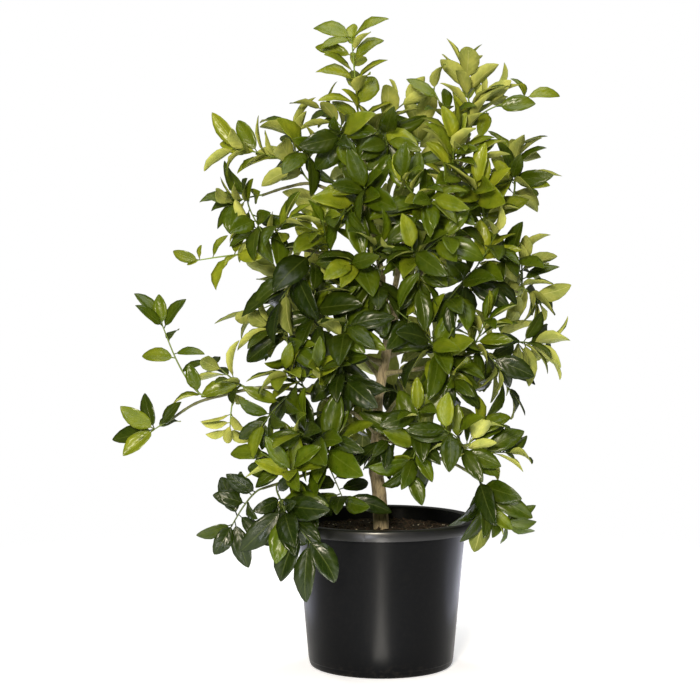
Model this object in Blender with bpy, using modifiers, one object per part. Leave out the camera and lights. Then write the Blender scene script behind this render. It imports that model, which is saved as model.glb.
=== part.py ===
"""A young lime tree, about 1.2 m tall, growing in a black plastic nursery pot.

Metres, +Z up. The origin is the middle of the pot's underside, and the tree's fullest face looks
along -Y. The pot, the potting soil, the trunk with its three leaders, twelve branches and
forty-five leafy sprays are each one solid. A spray is its twigs and all the leaves they carry.
"""

import math
import random

import bmesh
import bpy
from mathutils import Matrix, Quaternion, Vector
from mathutils.bvhtree import BVHTree

# Pot
POT_HEIGHT = 0.275
RIM_RADIUS = 0.180
RIM_BAND = 0.0185  # height of the rim's outer band
RIM_FLANGE = 0.0215  # how far the rim stands out past the wall
WALL_TOP_RADIUS = 0.1585
WALL_FOOT_RADIUS = 0.1345
WALL = 0.003
SHEET = 0.0025  # thickness of the rim and the floor
FOOT_RADIUS = 0.129
FOOT_WIDTH = 0.014
PAD_RADIUS = 0.060  # the flat middle that the pot also stands on
RECESS = 0.004  # how high the floor is raised between the pad and the foot
DRAIN_HOLES = 8
DRAIN_DIAMETER = 0.014
DRAIN_CIRCLE = 0.088
TURNED_STEPS = 32
FLOOR_CORNER = 0.0045
WALL_TURN = 0.004  # the wall turns out into the rim this far below the flange
FLANGE_EASE = 0.005  # width of the slope on the flange's inner edge
RIM_EASE = (0.004, 0.0045)  # the rim's outer corner: how far in and how far down it starts
RIM_CORNER = (0.0008, 0.0012)  # and the point half way round it
FOOT_EASE = (0.0018, 0.0017)
FOOT_TOP = 0.006

# Soil
SOIL_LEVEL = 0.2505
SOIL_MOUND = 0.005
SOIL_RINGS = ((0.045, 0.6), (0.090, 0.3))  # radius, and share of the mound's height there
SOIL_EDGE = 0.008  # width of the strip that dips to the wall
SOIL_DIP = 0.001
SOIL_CORNER = 0.0055
SOCKET_RADIUS = 0.0155
SOCKET_DEPTH = 0.060

# Wood: radii, at the foot and the top of the trunk and at the two ends of the other stems
TRUNK_FOOT_RADIUS = 0.0145
TRUNK_MID_RADIUS = 0.0098
TRUNK_MID_HEIGHT = 0.46
TRUNK_TOP_RADIUS = 0.0085
GRAFT_HEIGHT = 0.380
GRAFT_SWELL = 0.0028
GRAFT_REACH = 0.020
LEADER_RADII = (0.0072, 0.0032)
BRANCH_RADII = (0.0042, 0.0023)
TWIG_RADII = (0.0019, 0.0012)
SIDE_TWIG_RADII = (0.0016, 0.0011)
STEM_SIDES = {"trunk_stem": 10, "leader": 8, "branch": 6, "twig": 4}
TWIG_SPANS = 4
TWIG_SETBACK = 0.004  # a shoot that carries a stem on starts this far inside its end
TWIG_ALONG = 0.27  # how strongly a twig first follows its parent, and then rises
TWIG_RISE = 0.072
TWIG_WANDER = 0.004  # how much further a twig's tip is moved at each try
NEAR_PARENT = (0.012, 0.028)  # a twig's first metres, not held clear of other stems, or of its parent
STEM_GAP = 0.001

CLEARANCE = 0.0003  # gap between touching pieces

# Leaves
LEAF_SCALE = 1.28
STALK_RADIUS = 0.0006
STALK_END = 0.13  # where the stalk ends, as a share of the leaf's length
SOLID_SECTIONS = ((0.0, 0.0), (STALK_END, 0.0), (0.5, 1.0))  # place, and share of the full width
ROOMY_SECTIONS = ((0.0, 0.0), (0.38, 1.0), (0.74, 0.82))
KEEL = 0.0016  # how far the midrib stands below the blade
GOLDEN_ANGLE = math.radians(137.5)
TRIES = 16
LEAF_GAP = 0.001  # air kept round each leaf
LEAF_INSET = 0.002  # the last leaf grows from this far inside the twig's end
BLADE_START = 0.24  # the stalk and the foot of the blade end this far along the leaf
LEAF_WIDTH = (0.36, 0.52)  # share of the length
LEAF_ROLL = math.radians(55)
FRONT_DEPTH = 0.04  # sprays nearer than this turn their leaves to the front
GROUND_GAP = 0.012
POT_GAP = 0.008

# How a leaf stands on its twig: old leaves splay and hang, and young ones rise beside it
FIRST_PLACE = 0.1
CROWDING = 0.85  # below 1, the leaves crowd towards the twig's tip
AGE_DROP = 0.2  # most leaves are this much older than their twig's figure
AGE_RANGE = 0.65  # and a few are younger by up to the rest of this range
SPLAY = 78  # degrees between leaf and twig, less for the next two
SPLAY_TO_TIP = 32
SPLAY_TO_YOUTH = 24
SPLAY_JITTER = (-10, 14)
HANG = 0.5
RISE = 1.05
REACH_OUT = 0.2
LENGTH_JITTER = (0.86, 1.14)
SET_LENGTH_JITTER = (0.97, 1.05)
FOOT_LENGTH = 1.04  # share of the usual length at the twig's foot
TIP_LENGTH_LOSS = 0.22
FACE_UP = 0.5
FACE_TWIG = 0.3
YOUNG_FACE_TWIG = 1.1
FACE_OUT = 0.25
FACE_FRONT = (-0.45, 0.85)
SET_FACE_FRONT = (0.8, 1.7)
PAST_YOUNG = 1.15  # an age at which a leaf would no longer turn outwards
ARCH = (0.25, 0.75)  # radians that the blade bends by, and what age adds
OLD_ARCH = 0.25
NEXT_PLACE = 0.05  # how far a leaf that meets another may move, turn, swing and shrink
NEXT_TURN = 2.6
NEXT_SWING = 0.5
NEXT_SHRINK = 0.3

TRUNK_ROUTE = (
    (0, 0, 0.196), (0, 0, 0.235), (0, 0, 0.262), (-0.003, 0, 0.319), (-0.01, 0.004, 0.376),
    (-0.006, 0, 0.447), (-0.005, -0.004, 0.501), (0.01, 0, 0.586), (0.012, 0, 0.64),
)
LEADERS = {
    "leader_left": (
        (0.012, 0, 0.633), (-0.001, 0, 0.737), (-0.02, 0.01, 0.839), (-0.029, 0.012, 0.919),
        (-0.04, 0.01, 0.997),
    ),
    "leader_right": (
        (0.012, 0, 0.633), (0.062, -0.02, 0.715), (0.108, -0.03, 0.811), (0.137, -0.03, 0.903),
        (0.161, -0.02, 0.98),
    ),
    "leader_back": (
        (0.012, 0, 0.625), (0.025, 0.06, 0.698), (0.045, 0.11, 0.802), (0.059, 0.14, 0.899),
    ),
}
BRANCHES = {
    "far_left": (
        (-0.008, 0, 0.436), (-0.067, -0.05, 0.485), (-0.138, -0.09, 0.517), (-0.215, -0.11, 0.526),
        (-0.28, -0.12, 0.514), (-0.334, -0.12, 0.498), (-0.383, -0.12, 0.466),
    ),
    "mid_left": (
        (0.004, 0, 0.562), (-0.074, -0.04, 0.598), (-0.119, -0.07, 0.616), (-0.166, -0.08, 0.625),
    ),
    "up_left": (
        (0.009, 0, 0.662), (-0.067, -0.03, 0.741), (-0.109, -0.05, 0.768), (-0.194, -0.06, 0.777),
        (-0.249, -0.06, 0.765),
    ),
    "high_left": (
        (-0.021, 0.01, 0.844), (-0.077, 0.02, 0.874), (-0.13, 0.03, 0.897), (-0.178, 0.03, 0.89),
        (-0.223, 0.02, 0.875),
    ),
    "mid_right": (
        (0.003, 0, 0.544), (0.08, -0.03, 0.557), (0.14, -0.05, 0.576), (0.191, -0.06, 0.595),
        (0.243, -0.06, 0.604),
    ),
    "low_right": (
        (-0.006, 0, 0.427), (0.052, -0.04, 0.409), (0.092, -0.07, 0.399), (0.135, -0.09, 0.385),
        (0.173, -0.11, 0.364),
    ),
    "low_left": (
        (-0.009, 0.003, 0.39), (-0.067, -0.05, 0.386), (-0.129, -0.1, 0.37),
        (-0.172, -0.13, 0.359), (-0.212, -0.15, 0.348),
    ),
    "high_right": (
        (0.1, -0.029, 0.792), (0.155, 0, 0.796), (0.212, 0.03, 0.819), (0.245, 0.04, 0.867),
    ),
    "out_right": (
        (0.022, -0.003, 0.648), (0.118, 0.02, 0.688), (0.204, 0.04, 0.702), (0.257, 0.05, 0.695),
    ),
    "back_low": (
        (-0.006, 0, 0.452), (0.02, 0.08, 0.475), (0.04, 0.16, 0.5), (0.03, 0.22, 0.52),
    ),
    "back_left": (
        (0.002, 0, 0.53), (-0.05, 0.07, 0.59), (-0.1, 0.13, 0.635), (-0.14, 0.18, 0.66),
    ),
    "back_right": (
        (0.008, 0, 0.575), (0.06, 0.07, 0.585), (0.12, 0.13, 0.575), (0.17, 0.18, 0.56),
    ),
}
LEADER_OF = {"up_left": "leader_left", "high_left": "leader_left", "high_right": "leader_right"}

# One row for each twig: the stem it grows from ("main" is the spray's own first twig), how far
# along that stem, its tip, its leaves, the leaves' length and how young they are, from 0 (old and
# dark) to 1. The leaves are a number, or a list of (place along the twig, reach of the leaf).
SPRAYS = {
    "top_leader": [
        ("leader_left", 1.0, (-0.055, 0, 1.165), [
            (1.0, (-0.069, 0.02, 0.030)), (1.0, (0.069, -0.02, 0.033)),
            (0.96, (-0.076, -0.02, 0.006)), (0.85, (0.037, -0.05, 0.032)),
            (0.80, (-0.074, 0.02, 0.024)), (0.75, (0.058, 0.02, 0.043)),
            (0.62, (-0.056, -0.03, 0.071)), (0.52, (0.061, -0.03, 0.041)),
            (0.55, (-0.071, 0.03, 0.024)), (0.40, (0.03, -0.06, 0.045)),
            (0.30, (-0.067, -0.03, 0.007)), (0.27, (0.041, 0.04, 0.059)),
            (0.68, (0.01, 0.07, 0.03)), (0.44, (-0.01, 0.07, 0.04)), (0.9, (0.0, 0.05, 0.05)),
            (0.2, (-0.045, -0.045, 0.04)), (0.12, (0.06, -0.03, 0.03)), (0.08, (-0.05, 0.03, 0.045)),
        ], 0.074, 0.95),
    ],
    "crown_left": [
        ("leader_left", 0.8, (-0.11, 0.02, 1.035), 9, 0.066, 0.5),
        ("main", 0.4, (-0.075, -0.09, 0.97), 6, 0.068, 0.35),
    ],
    "crown_right": [
        ("leader_left", 0.84, (0.045, 0.05, 1.05), 8, 0.07, 0.7),
        ("main", 0.4, (0.01, -0.07, 0.965), 6, 0.066, 0.45),
    ],
    "left_leader_front": [
        ("leader_left", 0.5, (-0.03, -0.11, 0.885), 8, 0.072, 0.4),
        ("main", 0.4, (-0.07, -0.13, 0.835), 6, 0.072, 0.45),
    ],
    "left_leader_low": [
        ("leader_left", 0.22, (-0.055, -0.13, 0.75), 8, 0.074, 0.4),
        ("main", 0.45, (0.005, -0.15, 0.785), 6, 0.076, 0.45),
        ("main", 0.2, (0.0, -0.13, 0.7), 5, 0.076, 0.3),
    ],
    "high_left_outer": [
        ("high_left", 0.55, (-0.17, 0.04, 1.01), 8, 0.072, 0.5),
        ("main", 0.35, (-0.115, -0.03, 0.955), 6, 0.07, 0.4),
        ("main", 0.15, (-0.27, -0.02, 0.96), 8, 0.07, 0.8),
    ],
    "high_left_tip": [
        ("high_left", 1.0, (-0.275, -0.03, 0.86), 7, 0.062, 0.6),
        ("main", 0.3, (-0.215, -0.08, 0.805), 6, 0.066, 0.45),
    ],
    "up_left_tip": [
        ("up_left", 1.0, (-0.335, -0.05, 0.755), [
            (1.0, (-0.048, 0, 0.017)), (0.97, (0.007, -0.02, 0.026)), (0.98, (-0.026, 0.01, -0.01)),
            (0.70, (0.026, 0.01, 0.046)), (0.35, (-0.026, -0.01, -0.065)),
            (0.15, (-0.028, -0.03, -0.019)), (0.2, (0.048, -0.03, -0.007)),
            (0.25, (0.015, 0.03, 0.048)),
        ], 0.05, 0.9),
    ],
    "up_left_mid": [
        ("up_left", 0.72, (-0.245, -0.04, 0.825), 7, 0.06, 0.55),
        ("main", 0.3, (-0.17, -0.11, 0.825), 6, 0.066, 0.5),
    ],
    "up_left_front": [
        ("up_left", 0.42, (-0.105, -0.12, 0.825), 7, 0.07, 0.7),
        ("main", 0.3, (-0.18, -0.13, 0.685), 7, 0.082, 0.15),
    ],
    "mid_left_tip": [
        ("mid_left", 1.0, (-0.21, -0.07, 0.635), 6, 0.06, 0.5),
        ("main", 0.2, (-0.155, -0.13, 0.585), 6, 0.066, 0.25),
    ],
    "mid_left_up": [
        ("mid_left", 0.6, (-0.125, -0.12, 0.705), 9, 0.078, 0.3),
    ],
    "mid_left_front": [
        ("mid_left", 0.4, (-0.065, -0.13, 0.54), 8, 0.072, 0.25),
        ("main", 0.3, (-0.06, -0.15, 0.645), 7, 0.076, 0.3),
    ],
    "far_left_tip": [
        ("far_left", 1.0, (-0.41, -0.12, 0.45), [
            (1.0, (-0.018, 0.01, 0.068)), (1.0, (-0.056, -0.02, 0.044)),
            (0.95, (-0.076, 0.02, -0.026)), (0.95, (-0.056, -0.02, -0.048)),
            (0.50, (0.04, -0.04, 0.043)), (0.8, (0.04, 0.05, 0.008)),
            (0.10, (-0.041, 0, -0.047)),
        ], 0.06, 0.4),
    ],
    "far_left_up": [
        ("far_left", 0.8, (-0.395, -0.11, 0.64), [
            (1.0, (-0.052, 0.01, 0.061)), (0.97, (-0.05, -0.03, 0.041)), (1.0, (-0.006, 0, 0.06)),
            (0.95, (0.042, 0, 0.056)), (0.60, (-0.064, 0.01, 0.007)), (0.65, (0.06, -0.01, 0.004)),
            (0.15, (-0.015, -0.01, 0.056)), (0.1, (-0.056, -0.01, -0.013)),
            (0.8, (0.01, 0.05, 0.02)),
        ], 0.06, 0.5),
    ],
    "far_left_mid": [
        ("far_left", 0.63, (-0.305, -0.11, 0.575), 6, 0.06, 0.3),
        ("main", 0.15, (-0.275, -0.09, 0.445), 5, 0.052, 1.0),
    ],
    "far_left_front": [
        ("far_left", 0.36, (-0.17, -0.16, 0.56), 7, 0.074, 0.6),
        ("main", 0.3, (-0.11, -0.17, 0.56), 6, 0.072, 0.5),
        ("main", 0.12, (-0.21, -0.17, 0.465), 8, 0.068, 0.25),
    ],
    "low_left_tip": [
        ("low_left", 1.0, (-0.265, -0.17, 0.285), [
            (1.0, (-0.07, 0.01, -0.022)), (1.0, (-0.035, -0.02, -0.06)), (0.9, (0.02, -0.01, -0.088)),
            (0.75, (0.058, -0.02, -0.055)), (0.8, (-0.035, 0.02, 0.07)), (0.5, (-0.06, -0.01, 0.015)),
            (0.45, (0.02, -0.06, -0.02)), (0.3, (-0.03, 0.05, 0.04)), (0.2, (-0.05, -0.03, 0.04)),
        ], 0.078, 0.1),
    ],
    "low_left_hang": [
        ("low_left", 0.85, (-0.125, -0.225, 0.265), [
            (1.0, (-0.01, -0.012, -0.112)), (0.95, (0.062, -0.01, -0.078)),
            (0.8, (-0.045, 0, -0.095)), (0.65, (0.055, -0.03, -0.035)), (0.55, (-0.025, -0.03, -0.085)),
            (0.45, (0.02, -0.06, 0.02)), (0.3, (-0.05, -0.03, -0.02)), (0.2, (0.03, -0.04, 0.04)),
        ], 0.084, 0.05),
        ("main", 0.25, (-0.165, -0.2, 0.3), 6, 0.08, 0.1),
    ],
    "low_left_yellow": [
        ("low_left", 0.72, (-0.155, -0.2, 0.39), 7, 0.072, 0.7),
        ("main", 0.3, (-0.21, -0.18, 0.415), 5, 0.064, 0.4),
        ("main", 0.12, (-0.15, -0.14, 0.325), 5, 0.074, 0.2),
    ],
    "low_left_front": [
        ("low_left", 0.42, (-0.09, -0.17, 0.44), 8, 0.076, 0.2),
        ("main", 0.4, (-0.145, -0.19, 0.455), 6, 0.072, 0.3),
        ("main", 0.15, (-0.068, -0.105, 0.322), [
            (1.0, (0.088, 0.01, -0.022)), (1.0, (0.05, -0.055, -0.008)),
            (0.92, (-0.01, -0.075, -0.02)), (0.85, (-0.062, 0.02, -0.018)),
            (0.75, (0.055, 0.05, 0.004)), (0.6, (-0.055, -0.045, 0.0)), (0.5, (0.05, -0.02, 0.045)),
        ], 0.07, 0.1),
    ],
    "low_right_tip": [
        ("low_right", 1.0, (0.185, -0.14, 0.315), 8, 0.078, 0.2),
        ("main", 0.15, (0.23, -0.09, 0.27), [
            (0.85, (0.058, 0, 0.032)), (0.85, (0.06, -0.01, -0.004)), (1.0, (0.05, 0.01, -0.009)),
            (0.6, (-0.011, -0.02, -0.048)), (0.95, (-0.012, 0.01, -0.036)),
            (0.5, (0.03, 0.02, -0.026)),
        ], 0.055, 0.6),
    ],
    "low_right_up": [
        ("low_right", 0.7, (0.18, -0.12, 0.46), 7, 0.066, 0.6),
        ("main", 0.3, (0.115, -0.16, 0.455), 6, 0.07, 0.4),
        ("main", 0.12, (0.23, -0.07, 0.405), 6, 0.062, 0.5),
    ],
    "low_right_in": [
        ("low_right", 0.35, (0.065, -0.13, 0.485), 7, 0.072, 0.35),
        ("main", 0.3, (0.05, -0.12, 0.375), 5, 0.066, 0.35),
        ("main", 0.2, (0.0, -0.13, 0.43), 5, 0.07, 0.2),
    ],
    "mid_right_tip": [
        ("mid_right", 1.0, (0.3, -0.03, 0.595), 8, 0.066, 0.4),
    ],
    "mid_right_up": [
        ("mid_right", 0.62, (0.19, -0.1, 0.65), 7, 0.068, 0.55),
        ("main", 0.2, (0.215, -0.1, 0.56), 5, 0.066, 0.25),
    ],
    "mid_right_front": [
        ("mid_right", 0.38, (0.085, -0.15, 0.61), 8, 0.078, 0.25),
        ("main", 0.3, (0.13, -0.14, 0.54), 7, 0.072, 0.35),
        ("main", 0.2, (0.03, -0.15, 0.665), 5, 0.076, 0.3),
    ],
    "out_right_outer": [
        ("out_right", 1.0, (0.262, 0.07, 0.765), 7, 0.068, 0.45),
        ("main", 0.3, (0.225, 0, 0.76), 5, 0.068, 0.4),
        ("main", 0.1, (0.292, 0.05, 0.68), 6, 0.062, 0.5),
    ],
    "out_right_front": [
        ("out_right", 0.45, (0.21, -0.06, 0.805), 8, 0.072, 0.6),
        ("main", 0.25, (0.12, -0.13, 0.685), 8, 0.082, 0.15),
    ],
    "high_right_tip": [
        ("high_right", 1.0, (0.245, 0.06, 0.96), 8, 0.068, 0.5),
        ("main", 0.3, (0.235, -0.01, 0.9), 6, 0.066, 0.5),
    ],
    "high_right_front": [
        ("high_right", 0.45, (0.17, -0.09, 0.89), 8, 0.072, 0.7),
    ],
    "right_leader_tip": [
        ("leader_right", 1.0, (0.15, -0.02, 1.1), 11, 0.068, 0.8),
        ("main", 0.25, (0.21, 0.03, 1.065), 6, 0.064, 0.6),
        ("main", 0.1, (0.268, 0.02, 1.055), [
            (1.0, (0.067, 0.01, 0.007)), (1.0, (-0.026, 0.01, 0.041)), (0.97, (-0.009, -0.03, 0.026)),
            (0.55, (0.078, -0.01, 0.01)), (0.8, (0.03, -0.04, 0.0)), (0.4, (-0.01, -0.03, -0.05)),
        ], 0.06, 0.75),
    ],
    "right_leader_left": [
        ("leader_right", 0.8, (0.095, -0.04, 1.065), 7, 0.07, 0.6),
    ],
    "right_leader_front": [
        ("leader_right", 0.62, (0.125, -0.11, 0.98), 9, 0.07, 0.75),
        ("main", 0.3, (0.18, -0.1, 0.95), 6, 0.068, 0.65),
    ],
    "right_leader_mid": [
        ("leader_right", 0.42, (0.035, -0.12, 0.9), 8, 0.074, 0.6),
        ("main", 0.4, (0.09, -0.15, 0.865), 6, 0.072, 0.65),
    ],
    "right_leader_low": [
        ("leader_right", 0.25, (0.055, -0.15, 0.775), 7, 0.076, 0.45),
        ("main", 0.3, (0.115, -0.15, 0.8), 6, 0.074, 0.6),
        ("main", 0.15, (0.065, -0.12, 0.71), 5, 0.074, 0.4),
    ],
    "back_top": [
        ("leader_back", 1.0, (0.075, 0.17, 1.015), 9, 0.07, 0.65),
        ("main", 0.3, (0.145, 0.19, 0.955), 6, 0.07, 0.5),
        ("main", 0.2, (-0.01, 0.17, 0.98), 6, 0.07, 0.6),
    ],
    "back_high_left": [
        ("leader_back", 0.6, (-0.06, 0.2, 0.92), 8, 0.072, 0.45),
        ("main", 0.35, (-0.015, 0.25, 0.845), 6, 0.074, 0.4),
        ("main", 0.3, (-0.13, 0.18, 0.85), 6, 0.074, 0.5),
    ],
    "back_high_right": [
        ("leader_back", 0.4, (0.175, 0.22, 0.815), 8, 0.072, 0.45),
        ("main", 0.3, (0.075, 0.26, 0.755), 6, 0.074, 0.35),
        ("main", 0.3, (0.18, 0.15, 0.89), 6, 0.072, 0.55),
    ],
    "back_left_tip": [
        ("back_left", 1.0, (-0.2, 0.22, 0.73), 8, 0.074, 0.4),
        ("main", 0.15, (-0.14, 0.28, 0.65), 6, 0.074, 0.25),
        ("main", 0.15, (-0.25, 0.14, 0.65), 6, 0.07, 0.45),
    ],
    "back_left_in": [
        ("back_left", 0.5, (-0.05, 0.22, 0.7), 7, 0.074, 0.3),
        ("main", 0.3, (-0.12, 0.1, 0.74), 6, 0.07, 0.4),
    ],
    "back_right_tip": [
        ("back_right", 1.0, (0.26, 0.2, 0.63), 8, 0.072, 0.5),
        ("main", 0.15, (0.18, 0.26, 0.55), 6, 0.074, 0.25),
        ("main", 0.15, (0.25, 0.13, 0.5), 6, 0.07, 0.35),
    ],
    "back_right_in": [
        ("back_right", 0.5, (0.1, 0.22, 0.66), 7, 0.074, 0.3),
        ("main", 0.2, (0.14, 0.1, 0.46), 6, 0.072, 0.2),
    ],
    "back_low_tip": [
        ("back_low", 1.0, (0.035, 0.3, 0.52), 8, 0.074, 0.3),
        ("main", 0.15, (0.125, 0.25, 0.44), 6, 0.074, 0.2),
        ("main", 0.15, (-0.04, 0.26, 0.42), 6, 0.074, 0.15),
    ],
    "back_low_left": [
        ("back_low", 0.6, (-0.11, 0.21, 0.49), 8, 0.074, 0.25),
        ("main", 0.3, (-0.17, 0.12, 0.41), 6, 0.072, 0.2),
    ],
}

COLOURS = {
    "pot": (0.012, 0.013, 0.014), "soil": (0.055, 0.035, 0.022), "wood": (0.22, 0.16, 0.10),
    "old": (0.030, 0.085, 0.012), "young": (0.17, 0.30, 0.035),
}


def smooth_path(route, per_span=2):
    """Points on a Catmull-Rom curve through the route."""
    knots = [Vector(point) for point in route]
    ends = [2 * knots[0] - knots[1], *knots, 2 * knots[-1] - knots[-2]]
    path = []
    for a, b, c, d in zip(ends, ends[1:], ends[2:], ends[3:]):
        for step in range(per_span):
            t = step / per_span
            path.append(0.5 * (2 * b + (c - a) * t + (2 * a - 5 * b + 4 * c - d) * t * t
                               + (3 * b - a - 3 * c + d) * t ** 3))
    return [*path, knots[-1]]


def across(way):
    """Two unit vectors at right angles to a direction and to each other."""
    side = way.cross(Vector((0, 0, 1)) if abs(way.z) < 0.9 else Vector((1, 0, 0))).normalized()
    return side, way.cross(side)


class Stem:
    """A tapering stem along a path of points."""

    def __init__(self, points, radii):
        self.points = points
        self.lengths = [0.0]
        for a, b in zip(points, points[1:]):
            self.lengths.append(self.lengths[-1] + (b - a).length)
        if callable(radii):
            self.radii = [radii(point) for point in points]
        else:
            self.radii = [radii[0] + (radii[1] - radii[0]) * run / self.length for run in self.lengths]

    @property
    def length(self):
        return self.lengths[-1]

    def at(self, t):
        """The point and the direction a fraction t of the way along."""
        run = max(0.0, min(1.0, t)) * self.length
        i = 0
        while i < len(self.points) - 2 and self.lengths[i + 1] < run:
            i += 1
        a, b = self.points[i], self.points[i + 1]
        return a.lerp(b, (run - self.lengths[i]) / (b - a).length), (b - a).normalized()

    def guard(self, margin, skip=0.0, sides=6):
        """A tree of the faces of a tube round the stem, past the first skip metres."""
        corners, faces = [], []
        for i, point in enumerate(self.points):
            if self.lengths[i] < skip:
                continue
            _, way = self.at(self.lengths[i] / self.length)
            u, v = across(way)
            reach = self.radii[i] + margin
            for k in range(sides):
                angle = 2 * math.pi * k / sides
                corners.append(point + reach * (u * math.cos(angle) + v * math.sin(angle)))
        for ring in range(len(corners) // sides - 1):
            for k in range(sides):
                a, b = ring * sides + k, ring * sides + (k + 1) % sides
                faces.append((a, b, b + sides, a + sides))
        return BVHTree.FromPolygons(corners, faces) if faces else None


class Leaf:
    """A leaf's frame: where it grows, its first direction, its upper side, size and arch."""

    def __init__(self, base, way, normal, length, width, arch, tone):
        self.base, self.way, self.length, self.width = base, way, length, width
        self.normal = (normal - way * normal.dot(way)).normalized()
        self.side = self.way.cross(self.normal)
        self.arch, self.tone = arch, tone

    def spine(self, s):
        """The midrib's point and the blade's normal a fraction s of the way to the tip."""
        turn = self.arch * s
        run = self.length * math.sin(turn) / self.arch
        drop = self.length * (1 - math.cos(turn)) / self.arch
        point = self.base + self.way * run - self.normal * drop
        return point, self.normal * math.cos(turn) + self.way * math.sin(turn)

    def corners(self, sections, grow=0.0):
        """Left, right, keel and top corners of each section, then the tip."""
        rows = []
        for s, share in sections:
            point, normal = self.spine(s)
            half = max(STALK_RADIUS, self.width / 2 * share) + grow
            keel = (KEEL if share else 1.5 * STALK_RADIUS) + grow
            rows.append((point + self.side * half, point - self.side * half,
                         point - normal * keel, point + normal * grow))
        return rows, self.spine(1.0 + grow / self.length)[0]

    def guard(self, whole=True):
        """A tree of the faces of the leaf with air round it, or of its blade only."""
        sections = ROOMY_SECTIONS if whole else ((BLADE_START, 0.3), *ROOMY_SECTIONS[1:])
        rows, tip = self.corners(sections, LEAF_GAP)
        corners = [corner for left, right, keel, top in rows for corner in (left, keel, right, top)]
        faces = []
        for ring in (0, 4):
            for k in range(4):
                a, b = ring + k, ring + (k + 1) % 4
                faces.append((a, b, b + 4, a + 4))
        corners.append(tip)
        faces += [(8 + k, 8 + (k + 1) % 4, 12) for k in range(4)]
        return BVHTree.FromPolygons(corners, faces)

    def samples(self):
        """Points all over the leaf, to keep it out of the pot."""
        rows, tip = self.corners(ROOMY_SECTIONS, LEAF_GAP)
        spots = [corner for row in rows for corner in row[:2]] + [tip]
        return spots + [(a + b) / 2 for a, b in zip(spots, spots[2:])]


def out_of_pot(points):
    """Whether every point is clear of the pot, of the space over its soil and of the ground."""
    for point in points:
        if point.z < GROUND_GAP:
            return False
        if point.z < POT_HEIGHT + POT_GAP and point.xy.length < RIM_RADIUS + POT_GAP:
            return False
    return True


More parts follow.
